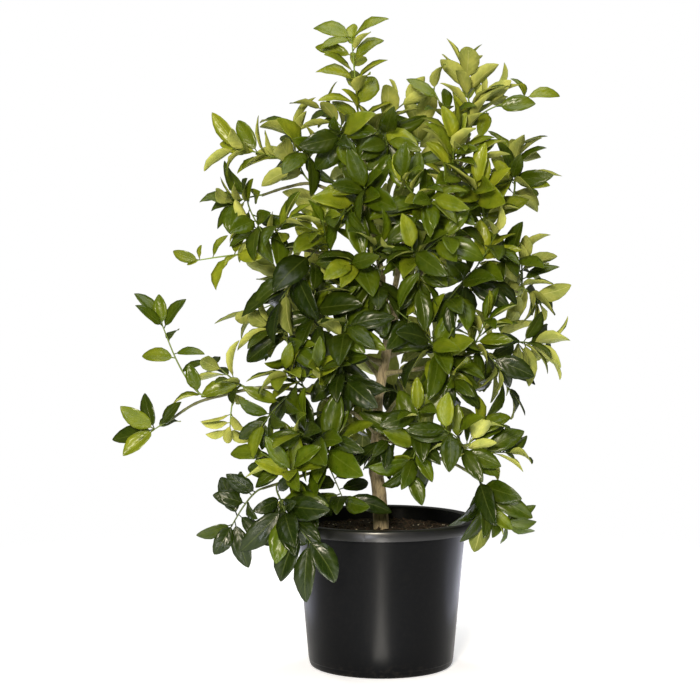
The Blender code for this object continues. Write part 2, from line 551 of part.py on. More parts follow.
class Tree:
    """The places of every stem and leaf."""

    def __init__(self):
        self.wood = {"trunk_stem": Stem(smooth_path(TRUNK_ROUTE), trunk_radius)}
        for name, route in LEADERS.items():
            self.wood[name] = Stem(smooth_path(route), LEADER_RADII)
        for name, route in BRANCHES.items():
            self.wood[name] = Stem(smooth_path(route), BRANCH_RADII)
        self.stem_guards = [(name, stem.guard(STEM_GAP)) for name, stem in self.wood.items()]
        self.leaf_guards = []
        self.twigs = {spray: self.grow_twigs(spray, rows) for spray, rows in SPRAYS.items()}
        self.leaves = {spray: [] for spray in SPRAYS}
        for explicit in (True, False):
            for spray, rows in SPRAYS.items():
                for row, twig in zip(rows, self.twigs[spray]):
                    if isinstance(row[3], list) == explicit:
                        self.grow_leaves(spray, row, twig)

    def grow_twigs(self, spray, rows):
        """The spray's twigs, each led round the stems that are there already."""
        draw = random.Random(spray)
        twigs = []
        for parent, place, tip, _, _, _ in rows:
            side_twig = parent == "main"
            stem = twigs[0] if side_twig else self.wood[parent]
            start, heading = stem.at(place if place < 1 else 1 - TWIG_SETBACK / stem.length)
            for attempt in range(TRIES):
                wander = Vector([draw.uniform(-1, 1) for _ in range(3)]) * TWIG_WANDER * attempt
                end = Vector(tip) + wander
                reach = (end - start).length
                handle = start + (heading * TWIG_ALONG + Vector((0, 0, TWIG_RISE))) * reach
                path = [start.lerp(handle, t).lerp(handle.lerp(end, t), t) for t in
                        [step / TWIG_SPANS for step in range(TWIG_SPANS + 1)]]
                twig = Stem(path, SIDE_TWIG_RADII if side_twig else TWIG_RADII)
                guard, far = (twig.guard(STEM_GAP, skip=skip) for skip in NEAR_PARENT)
                if all(not (far if name == parent else guard).overlap(other)
                       for name, other in self.stem_guards if name != spray and (far or name != parent)):
                    break
            twigs.append(twig)
            self.stem_guards.append((spray, twig.guard(STEM_GAP)))
        return twigs

    def grow_leaves(self, spray, row, twig):
        """The leaves of one twig."""
        _, _, tip, leaves, size, tone = row
        draw = random.Random(f"{spray} {tip}")
        phase = draw.uniform(0, 2 * math.pi)
        if isinstance(leaves, list):
            for place, reach in leaves:
                self.place_leaf(spray, twig, draw, place, None, Vector(reach), size, tone)
            return
        for i in range(leaves):
            share = (i + 0.6) / (leaves - 0.4)
            place = FIRST_PLACE + (1 - FIRST_PLACE) * share ** CROWDING
            azimuth = phase + i * GOLDEN_ANGLE
            self.place_leaf(spray, twig, draw, place, azimuth, None, size, tone)

    def place_leaf(self, spray, twig, draw, place, azimuth, reach, size, tone):
        """Puts one leaf on its twig where it meets nothing, or leaves it out."""
        for attempt in range(TRIES):
            spread = attempt / TRIES
            t = min(1 - LEAF_INSET / twig.length, place + draw.uniform(-NEXT_PLACE, NEXT_PLACE) * spread)
            base, heading = twig.at(t)
            outward = Vector((base.x, base.y, 0)).normalized()
            age = min(1.0, max(0.0, tone - AGE_DROP + AGE_RANGE * draw.random() ** 3))
            if reach is None:
                u, v = across(heading)
                angle = azimuth + draw.uniform(-NEXT_TURN, NEXT_TURN) * spread
                splay = SPLAY - SPLAY_TO_TIP * t - SPLAY_TO_YOUTH * age
                splay = math.radians(splay + draw.uniform(*SPLAY_JITTER))
                way = heading * math.cos(splay)
                way += (u * math.cos(angle) + v * math.sin(angle)) * math.sin(splay)
                way += Vector((0, 0, RISE * age - HANG)) + outward * REACH_OUT
                length = size * LEAF_SCALE * draw.uniform(*LENGTH_JITTER)
                length *= FOOT_LENGTH - TIP_LENGTH_LOSS * t ** 3
                to_front, roll = draw.uniform(*FACE_FRONT), LEAF_ROLL
            else:
                way = reach.normalized()
                way += Vector([draw.uniform(-1, 1) for _ in range(3)]) * NEXT_SWING * spread
                length = reach.length * draw.uniform(*SET_LENGTH_JITTER)
                to_front, roll = draw.uniform(*SET_FACE_FRONT) / (PAST_YOUNG - age), LEAF_ROLL / 2
            way.normalize()
            length *= 1 - NEXT_SHRINK * spread
            face = Vector((0, -1 if base.y < FRONT_DEPTH else 1, 0))
            up = Vector((0, 0, FACE_UP)) + heading * (FACE_TWIG + YOUNG_FACE_TWIG * age)
            up += (outward * FACE_OUT + face * to_front) * (PAST_YOUNG - age)
            if abs(up.normalized().dot(way)) > 0.97:
                up = up + outward
            normal = Quaternion(way, draw.uniform(-roll, roll)) @ (up - way * up.dot(way))
            width = length * draw.uniform(*LEAF_WIDTH)
            arch = draw.uniform(*ARCH) + OLD_ARCH * (1 - age)
            if reach is not None:
                way = Quaternion(way.cross(normal).normalized(), arch / 2) @ way
            leaf = Leaf(base, way, normal, length, width, arch, age)
            if self.clear(leaf, spray, twig):
                self.leaves[spray].append(leaf)
                return

    def clear(self, leaf, spray, twig):
        """Whether a leaf meets no stem, no other leaf and not the pot."""
        if not out_of_pot(leaf.samples()):
            return False
        whole, blade = leaf.guard(), leaf.guard(whole=False)
        if blade.overlap(twig.guard(STEM_GAP)):
            return False
        if any((blade if name == spray else whole).overlap(stem) for name, stem in self.stem_guards):
            return False
        middle, reach = leaf.spine(0.5)[0], leaf.length / 2 + 0.01
        for other_spray, other_middle, other_reach, other_whole, other_blade in self.leaf_guards:
            if (middle - other_middle).length > reach + other_reach:
                continue
            if other_spray == spray:
                if blade.overlap(other_whole) or whole.overlap(other_blade):
                    return False
            elif whole.overlap(other_whole):
                return False
        self.leaf_guards.append((spray, middle, reach, whole, blade))
        return True


def trunk_radius(point):
    """The trunk's radius at a point: an even taper with the graft's swelling."""
    top = TRUNK_ROUTE[-1][2]
    rise = min(1.0, max(0.0, (point.z - POT_HEIGHT) / (TRUNK_MID_HEIGHT - POT_HEIGHT)))
    swell = GRAFT_SWELL * math.exp(-(((point.z - GRAFT_HEIGHT) / GRAFT_REACH) ** 2))
    thin = max(0.0, (point.z - TRUNK_MID_HEIGHT) / (top - TRUNK_MID_HEIGHT))
    upper = TRUNK_MID_RADIUS + (TRUNK_TOP_RADIUS - TRUNK_MID_RADIUS) * thin
    return TRUNK_FOOT_RADIUS + (upper - TRUNK_FOOT_RADIUS) * rise + swell


def pot_wall_radius(height, inner=False):
    """The radius of the pot's wall at a height."""
    share = height / (POT_HEIGHT - SHEET)
    return WALL_FOOT_RADIUS + (WALL_TOP_RADIUS - WALL_FOOT_RADIUS) * share - (WALL if inner else 0)


def floor_profile(lift):
    """The raised ring of the floor from the middle outwards, lift above the underside."""
    return [
        (0.0, lift), (PAD_RADIUS, lift), (PAD_RADIUS + RECESS, RECESS + lift),
        (FOOT_RADIUS - FOOT_WIDTH - RECESS, RECESS + lift), (FOOT_RADIUS - FOOT_WIDTH, lift),
    ]


def pot_profile():
    """The pot's section: inside from the middle up, over the rim, and down the outside."""
    wall_top = POT_HEIGHT - SHEET
    lip_out, lip_in = RIM_RADIUS, RIM_RADIUS - SHEET
    inside = floor_profile(SHEET) + [
        (FOOT_RADIUS - 0.001, SHEET), (pot_wall_radius(FLOOR_CORNER, True), FLOOR_CORNER),
        (pot_wall_radius(wall_top - WALL_TURN, True), wall_top - WALL_TURN),
    ]
    flange = RIM_RADIUS - RIM_FLANGE
    rim = [
        (flange, POT_HEIGHT - 0.001), (flange + FLANGE_EASE, POT_HEIGHT),
        (RIM_RADIUS - RIM_EASE[0], POT_HEIGHT),
        (lip_out - RIM_CORNER[0], POT_HEIGHT - RIM_CORNER[1]),
        (lip_out, POT_HEIGHT - RIM_EASE[1]), (lip_out, POT_HEIGHT - RIM_BAND),
        (lip_in, POT_HEIGHT - RIM_BAND), (lip_in, wall_top - 0.0035), (lip_in - 0.0012, wall_top),
        (WALL_TOP_RADIUS + WALL_TURN, wall_top),
    ]
    outside = [
        (pot_wall_radius(wall_top - WALL_TURN), wall_top - WALL_TURN),
        (pot_wall_radius(FOOT_TOP), FOOT_TOP),
        (pot_wall_radius(0) - FOOT_EASE[0], FOOT_EASE[1]), (FOOT_RADIUS, 0.0),
    ]
    return inside + rim + outside + floor_profile(0.0)[::-1]


def soil_profile():
    """The soil's section: up the trunk's socket, out over the top, down the wall and in."""
    floor_lift = SHEET + CLEARANCE
    foot = floor_profile(floor_lift)[::-1]
    top_radius = pot_wall_radius(SOIL_LEVEL, True) - 2 * CLEARANCE
    return [
        (0.0, SOIL_LEVEL - SOCKET_DEPTH), (SOCKET_RADIUS, SOIL_LEVEL - SOCKET_DEPTH),
        (SOCKET_RADIUS, SOIL_LEVEL + SOIL_MOUND),
        *[(radius, SOIL_LEVEL + SOIL_MOUND * share) for radius, share in SOIL_RINGS],
        (top_radius - SOIL_EDGE, SOIL_LEVEL + SOIL_DIP), (top_radius, SOIL_LEVEL - SOIL_DIP),
        (pot_wall_radius(SOIL_CORNER, True) - 2 * CLEARANCE, SOIL_CORNER),
        (FOOT_RADIUS - 0.002, floor_lift), *foot,
    ]


def clear_scene():
    """Removes every object that the scene holds."""
    for obj in list(bpy.data.objects):
        bpy.data.objects.remove(obj, do_unlink=True)


def material(name, colour, roughness):
    """A Principled material of one colour."""
    made = bpy.data.materials.new(name)
    made.use_nodes = True
    shader = made.node_tree.nodes["Principled BSDF"]
    shader.inputs["Base Color"].default_value = (*colour, 1.0)
    shader.inputs["Roughness"].default_value = roughness
    return made


def add_object(name, mesh, collection):
    """A new object in a collection."""
    obj = bpy.data.objects.new(name, mesh)
    collection.objects.link(obj)
    return obj


def evaluated_mesh(obj):
    """The object's mesh as its modifiers or its bevel leave it."""
    bpy.context.view_layer.update()
    graph = bpy.context.evaluated_depsgraph_get()
    return bpy.data.meshes.new_from_object(obj.evaluated_get(graph))


def turned(name, profile, collection):
    """A solid of revolution about Z."""
    mesh = bpy.data.meshes.new(name)
    sections = bmesh.new()
    corners = [sections.verts.new((radius, 0.0, height)) for radius, height in profile]
    for a, b in zip(corners, corners[1:]):
        sections.edges.new((a, b))
    sections.to_mesh(mesh)
    sections.free()
    obj = add_object(name, mesh, collection)
    screw = obj.modifiers.new("turn", "SCREW")
    screw.steps = TURNED_STEPS
    screw.render_steps = TURNED_STEPS
    screw.use_merge_vertices = True
    screw.merge_threshold = 0.00001
    screw.use_smooth_shade = True
    return obj


def tube_mesh(stem, sides, grow=0.0):
    """A closed tube along a stem, made grow larger all over."""
    curve = bpy.data.curves.new("tube", "CURVE")
    curve.dimensions = "3D"
    curve.bevel_depth = 1.0
    curve.bevel_resolution = sides // 2 - 2
    curve.use_fill_caps = True
    points = [point.copy() for point in stem.points]
    points[0] -= (points[1] - points[0]).normalized() * grow
    points[-1] += (points[-1] - points[-2]).normalized() * grow
    spline = curve.splines.new("POLY")
    spline.points.add(len(points) - 1)
    for knot, point, radius in zip(spline.points, points, stem.radii):
        knot.co = (*point, 1.0)
        knot.radius = radius + grow
    holder = add_object("tube", curve, bpy.context.scene.collection)
    mesh = evaluated_mesh(holder)
    bpy.data.objects.remove(holder, do_unlink=True)
    bpy.data.curves.remove(curve)
    return mesh


def add_leaf(shapes, leaf):
    """Lofts one leaf's solid into a bmesh: stalk, two sections of the blade, and the tip."""
    rows, tip = leaf.corners(SOLID_SECTIONS)
    rings = [[shapes.verts.new(corner) for corner in (left, right, keel)] for left, right, keel, _ in rows]
    point = shapes.verts.new(tip)
    shapes.faces.new(rings[0])
    for near, far in zip(rings, rings[1:]):
        for k in range(3):
            n = (k + 1) % 3
            shapes.faces.new((near[n], near[k], far[k], far[n]))
    for k in range(3):
        shapes.faces.new((rings[-1][(k + 1) % 3], rings[-1][k], point))


def gathered(meshes, leaves=()):
    """One mesh of several, welded and facing out."""
    shapes = bmesh.new()
    for mesh in meshes:
        shapes.from_mesh(mesh)
        bpy.data.meshes.remove(mesh)
    for leaf in leaves:
        add_leaf(shapes, leaf)
    bmesh.ops.remove_doubles(shapes, verts=shapes.verts, dist=0.000005)
    bmesh.ops.recalc_face_normals(shapes, faces=shapes.faces)
    mesh = bpy.data.meshes.new("shapes")
    shapes.to_mesh(mesh)
    shapes.free()
    return mesh


def combine(obj, other, operation):
    """Applies a Boolean with a mesh that is then thrown away."""
    operand = add_object("operand", other, bpy.context.scene.collection)
    modifier = obj.modifiers.new("combine", "BOOLEAN")
    modifier.operation = operation
    modifier.object = operand
    modifier.solver = "EXACT"
    modifier.use_self = True
    mesh = evaluated_mesh(obj)
    obj.modifiers.remove(modifier)
    old = obj.data
    obj.data = mesh
    bpy.data.meshes.remove(old)
    bpy.data.objects.remove(operand, do_unlink=True)
    bpy.data.meshes.remove(other)


def build_pot(parts, cutters):
    """The pot, with its drain holes cut."""
    pot = turned("pot", pot_profile(), parts)
    holes = bmesh.new()
    for k in range(DRAIN_HOLES):
        angle = 2 * math.pi * (k + 0.5) / DRAIN_HOLES
        place = Matrix.Rotation(angle, 4, "Z") @ Matrix.Translation((DRAIN_CIRCLE, 0, RECESS))
        bmesh.ops.create_cone(holes, cap_ends=True, segments=10, radius1=DRAIN_DIAMETER / 2,
                              radius2=DRAIN_DIAMETER / 2, depth=4 * SHEET, matrix=place)
    mesh = bpy.data.meshes.new("drain_holes")
    holes.to_mesh(mesh)
    holes.free()
    cutter = add_object("drain_holes", mesh, cutters)
    cutter.hide_render = True
    cutter.display_type = "WIRE"
    cut = pot.modifiers.new("drain", "BOOLEAN")
    cut.operation = "DIFFERENCE"
    cut.object = cutter
    cut.solver = "EXACT"
    return pot


def wood_of(name):
    """The names of the stems that make up the wooden node that carries a stem."""
    return ["trunk_stem", *LEADERS] if name in LEADERS or name == "trunk_stem" else [name]


def grown_parent(tree, parent):
    """A slightly larger copy of the node that a stem grows from, to cut its root with."""
    return gathered([tube_mesh(tree.wood[name], sides_of(name), CLEARANCE) for name in wood_of(parent)])


def sides_of(name):
    """How many sides a stem's tube has."""
    if name in STEM_SIDES:
        return STEM_SIDES[name]
    return STEM_SIDES["leader" if name in LEADERS else "branch"]


def build_wood(tree, parts):
    """The trunk with its leaders as one piece, then each branch."""
    stem = tube_mesh(tree.wood["trunk_stem"], sides_of("trunk_stem"))
    trunk = add_object("trunk", gathered([stem]), parts)
    leaders = [tube_mesh(tree.wood[name], sides_of(name)) for name in LEADERS]
    combine(trunk, gathered(leaders), "UNION")
    made = [trunk]
    for name in BRANCHES:
        stem = tube_mesh(tree.wood[name], sides_of(name))
        branch = add_object(f"branch_{name}", gathered([stem]), parts)
        combine(branch, grown_parent(tree, LEADER_OF.get(name, "trunk_stem")), "DIFFERENCE")
        made.append(branch)
    return made


def build_spray(tree, spray, parts):
    """One spray: its twigs and leaves, cut clear of the stem that it grows from."""
    first, *others = [tube_mesh(twig, STEM_SIDES["twig"]) for twig in tree.twigs[spray]]
    obj = add_object(f"spray_{spray}", gathered([first]), parts)
    combine(obj, gathered(others, tree.leaves[spray]), "UNION")
    combine(obj, grown_parent(tree, SPRAYS[spray][0][0]), "DIFFERENCE")
    return obj


def main():
    clear_scene()
    parts = bpy.data.collections.new("potted_lime_tree")
    cutters = bpy.data.collections.new("cutters")
    for collection in (parts, cutters):
        bpy.context.scene.collection.children.link(collection)
    tree = Tree()
    pot = build_pot(parts, cutters)
    pot.data.materials.append(material("black_plastic", COLOURS["pot"], 0.42))
    soil = turned("potting_soil", soil_profile(), parts)
    soil.data.materials.append(material("potting_mix", COLOURS["soil"], 0.95))
    for piece in build_wood(tree, parts):
        piece.data.materials.clear()
        piece.data.materials.append(material(f"{piece.name}_bark", COLOURS["wood"], 0.8))
    for spray, rows in SPRAYS.items():
        piece = build_spray(tree, spray, parts)
        young = rows[0][5]
        colour = [a + (b - a) * young for a, b in zip(COLOURS["old"], COLOURS["young"])]
        piece.data.materials.clear()
        piece.data.materials.append(material(f"{spray}_leaf", colour, 0.45))
    print(sum(len(leaves) for leaves in tree.leaves.values()), "leaves")


main()
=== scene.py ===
"""A young lime tree, about 1.2 m tall, in a black nursery pot: the looks, built round its CAD model.

The pot, the potting mix, the trunk, the branches and the leafy sprays each replace their CAD node.
The plan of stems and leaves is the CAD model's own, so every fine leaf lies on a CAD leaf, and an
infill of more leaves, on the same twigs, closes the crown to the real tree's density.
"""

import logging
import math
import random
from contextlib import contextmanager
from dataclasses import dataclass
from enum import Enum
from functools import partial
from typing import Any, Callable, Iterator, Optional, Sequence

import bmesh
import bpy
import numpy as np
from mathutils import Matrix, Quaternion, Vector, noise
from mathutils.bvhtree import BVHTree


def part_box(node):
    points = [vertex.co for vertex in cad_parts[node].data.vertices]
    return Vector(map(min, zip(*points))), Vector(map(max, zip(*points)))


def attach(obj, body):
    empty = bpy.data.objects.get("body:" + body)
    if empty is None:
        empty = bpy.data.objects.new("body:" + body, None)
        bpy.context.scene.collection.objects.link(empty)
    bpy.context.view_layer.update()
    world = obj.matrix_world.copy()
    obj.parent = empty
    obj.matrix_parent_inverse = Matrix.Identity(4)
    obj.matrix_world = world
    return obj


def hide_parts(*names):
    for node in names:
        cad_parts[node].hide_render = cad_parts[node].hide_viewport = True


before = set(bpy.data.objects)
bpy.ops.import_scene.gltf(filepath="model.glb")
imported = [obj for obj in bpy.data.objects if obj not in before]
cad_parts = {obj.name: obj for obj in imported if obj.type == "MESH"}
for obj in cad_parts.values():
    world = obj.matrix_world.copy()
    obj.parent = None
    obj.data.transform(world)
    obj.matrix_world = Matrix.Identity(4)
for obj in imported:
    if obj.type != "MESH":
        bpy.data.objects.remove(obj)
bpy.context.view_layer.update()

log = logging.getLogger("lime_tree")

MM = 0.001
BODY = "root"

# The CAD model's driving dimensions, in metres, and the rules of its plan
POT_HEIGHT = 0.275
RIM_RADIUS = 0.180
WALL = 0.003
SHEET = 0.0025
SOIL_LEVEL = 0.2505
TRUNK_FOOT_RADIUS = 0.0145
TRUNK_MID_RADIUS = 0.0098
TRUNK_MID_HEIGHT = 0.46
TRUNK_TOP_RADIUS = 0.0085
GRAFT_HEIGHT = 0.380
GRAFT_SWELL = 0.0028
GRAFT_REACH = 0.020
LEADER_RADII = (0.0072, 0.0032)
BRANCH_RADII = (0.0042, 0.0023)
TWIG_RADII = (0.0019, 0.0012)
SIDE_TWIG_RADII = (0.0016, 0.0011)
TWIG_SPANS = 4
TWIG_SETBACK = 0.004
TWIG_ALONG = 0.27
TWIG_RISE = 0.072
TWIG_WANDER = 0.004
NEAR_PARENT = (0.012, 0.028)
STEM_GAP = 0.001
LEAF_SCALE = 1.28
STALK_RADIUS = 0.0006
STALK_END = 0.13
ROOMY_SECTIONS = ((0.0, 0.0), (0.38, 1.0), (0.74, 0.82))
KEEL = 0.0016
GOLDEN_ANGLE = math.radians(137.5)
TRIES = 16
LEAF_GAP = 0.001
LEAF_INSET = 0.002
BLADE_START = 0.24
LEAF_WIDTH = (0.36, 0.52)
LEAF_ROLL = math.radians(55)
FRONT_DEPTH = 0.04
GROUND_GAP = 0.012
POT_GAP = 0.008

# How a leaf stands on its twig: old leaves splay and hang, and young ones rise beside it
FIRST_PLACE = 0.1
CROWDING = 0.85
AGE_DROP = 0.2
AGE_RANGE = 0.65
SPLAY = 78
SPLAY_TO_TIP = 32
SPLAY_TO_YOUTH = 24
SPLAY_JITTER = (-10, 14)
HANG = 0.5
RISE = 1.05
REACH_OUT = 0.2
LENGTH_JITTER = (0.86, 1.14)
SET_LENGTH_JITTER = (0.97, 1.05)
FOOT_LENGTH = 1.04
TIP_LENGTH_LOSS = 0.22
FACE_UP = 0.5
FACE_TWIG = 0.3
YOUNG_FACE_TWIG = 1.1
FACE_OUT = 0.25
FACE_FRONT = (-0.45, 0.85)
SET_FACE_FRONT = (0.8, 1.7)
PAST_YOUNG = 1.15
ARCH = (0.25, 0.75)
OLD_ARCH = 0.25
NEXT_PLACE = 0.05
NEXT_TURN = 2.6
NEXT_SWING = 0.5
NEXT_SHRINK = 0.3
NEARLY_ALONG = 0.97  # cosine past which the upper side would be ill defined
INFILL_FROM = 0.12  # how far along its twig the first infill leaf may stand
YOUNG_TONE = 0.55  # from this tone up, LeafSlot.of gives the young leaves' slot

TRUNK_ROUTE = (
    (0, 0, 0.196), (0, 0, 0.235), (0, 0, 0.262), (-0.003, 0, 0.319), (-0.01, 0.004, 0.376),
    (-0.006, 0, 0.447), (-0.005, -0.004, 0.501), (0.01, 0, 0.586), (0.012, 0, 0.64),
)
LEADERS = {
    "leader_left": (
        (0.012, 0, 0.633), (-0.001, 0, 0.737), (-0.02, 0.01, 0.839), (-0.029, 0.012, 0.919),
        (-0.04, 0.01, 0.997),
    ),
    "leader_right": (
        (0.012, 0, 0.633), (0.062, -0.02, 0.715), (0.108, -0.03, 0.811), (0.137, -0.03, 0.903),
        (0.161, -0.02, 0.98),
    ),
    "leader_back": (
        (0.012, 0, 0.625), (0.025, 0.06, 0.698), (0.045, 0.11, 0.802), (0.059, 0.14, 0.899),
    ),
}
BRANCHES = {
    "far_left": (
        (-0.008, 0, 0.436), (-0.067, -0.05, 0.485), (-0.138, -0.09, 0.517), (-0.215, -0.11, 0.526),
        (-0.28, -0.12, 0.514), (-0.334, -0.12, 0.498), (-0.383, -0.12, 0.466),
    ),
    "mid_left": (
        (0.004, 0, 0.562), (-0.074, -0.04, 0.598), (-0.119, -0.07, 0.616), (-0.166, -0.08, 0.625),
    ),
    "up_left": (
        (0.009, 0, 0.662), (-0.067, -0.03, 0.741), (-0.109, -0.05, 0.768), (-0.194, -0.06, 0.777),
        (-0.249, -0.06, 0.765),
    ),
    "high_left": (
        (-0.021, 0.01, 0.844), (-0.077, 0.02, 0.874), (-0.13, 0.03, 0.897), (-0.178, 0.03, 0.89),
        (-0.223, 0.02, 0.875),
    ),
    "mid_right": (
        (0.003, 0, 0.544), (0.08, -0.03, 0.557), (0.14, -0.05, 0.576), (0.191, -0.06, 0.595),
        (0.243, -0.06, 0.604),
    ),
    "low_right": (
        (-0.006, 0, 0.427), (0.052, -0.04, 0.409), (0.092, -0.07, 0.399), (0.135, -0.09, 0.385),
        (0.173, -0.11, 0.364),
    ),
    "low_left": (
        (-0.009, 0.003, 0.39), (-0.067, -0.05, 0.386), (-0.129, -0.1, 0.37),
        (-0.172, -0.13, 0.359), (-0.212, -0.15, 0.348),
    ),
    "high_right": (
        (0.1, -0.029, 0.792), (0.155, 0, 0.796), (0.212, 0.03, 0.819), (0.245, 0.04, 0.867),
    ),
    "out_right": (
        (0.022, -0.003, 0.648), (0.118, 0.02, 0.688), (0.204, 0.04, 0.702), (0.257, 0.05, 0.695),
    ),
    "back_low": (
        (-0.006, 0, 0.452), (0.02, 0.08, 0.475), (0.04, 0.16, 0.5), (0.03, 0.22, 0.52),
    ),
    "back_left": (
        (0.002, 0, 0.53), (-0.05, 0.07, 0.59), (-0.1, 0.13, 0.635), (-0.14, 0.18, 0.66),
    ),
    "back_right": (
        (0.008, 0, 0.575), (0.06, 0.07, 0.585), (0.12, 0.13, 0.575), (0.17, 0.18, 0.56),
    ),
}
LEADER_OF = {"up_left": "leader_left", "high_left": "leader_left", "high_right": "leader_right"}

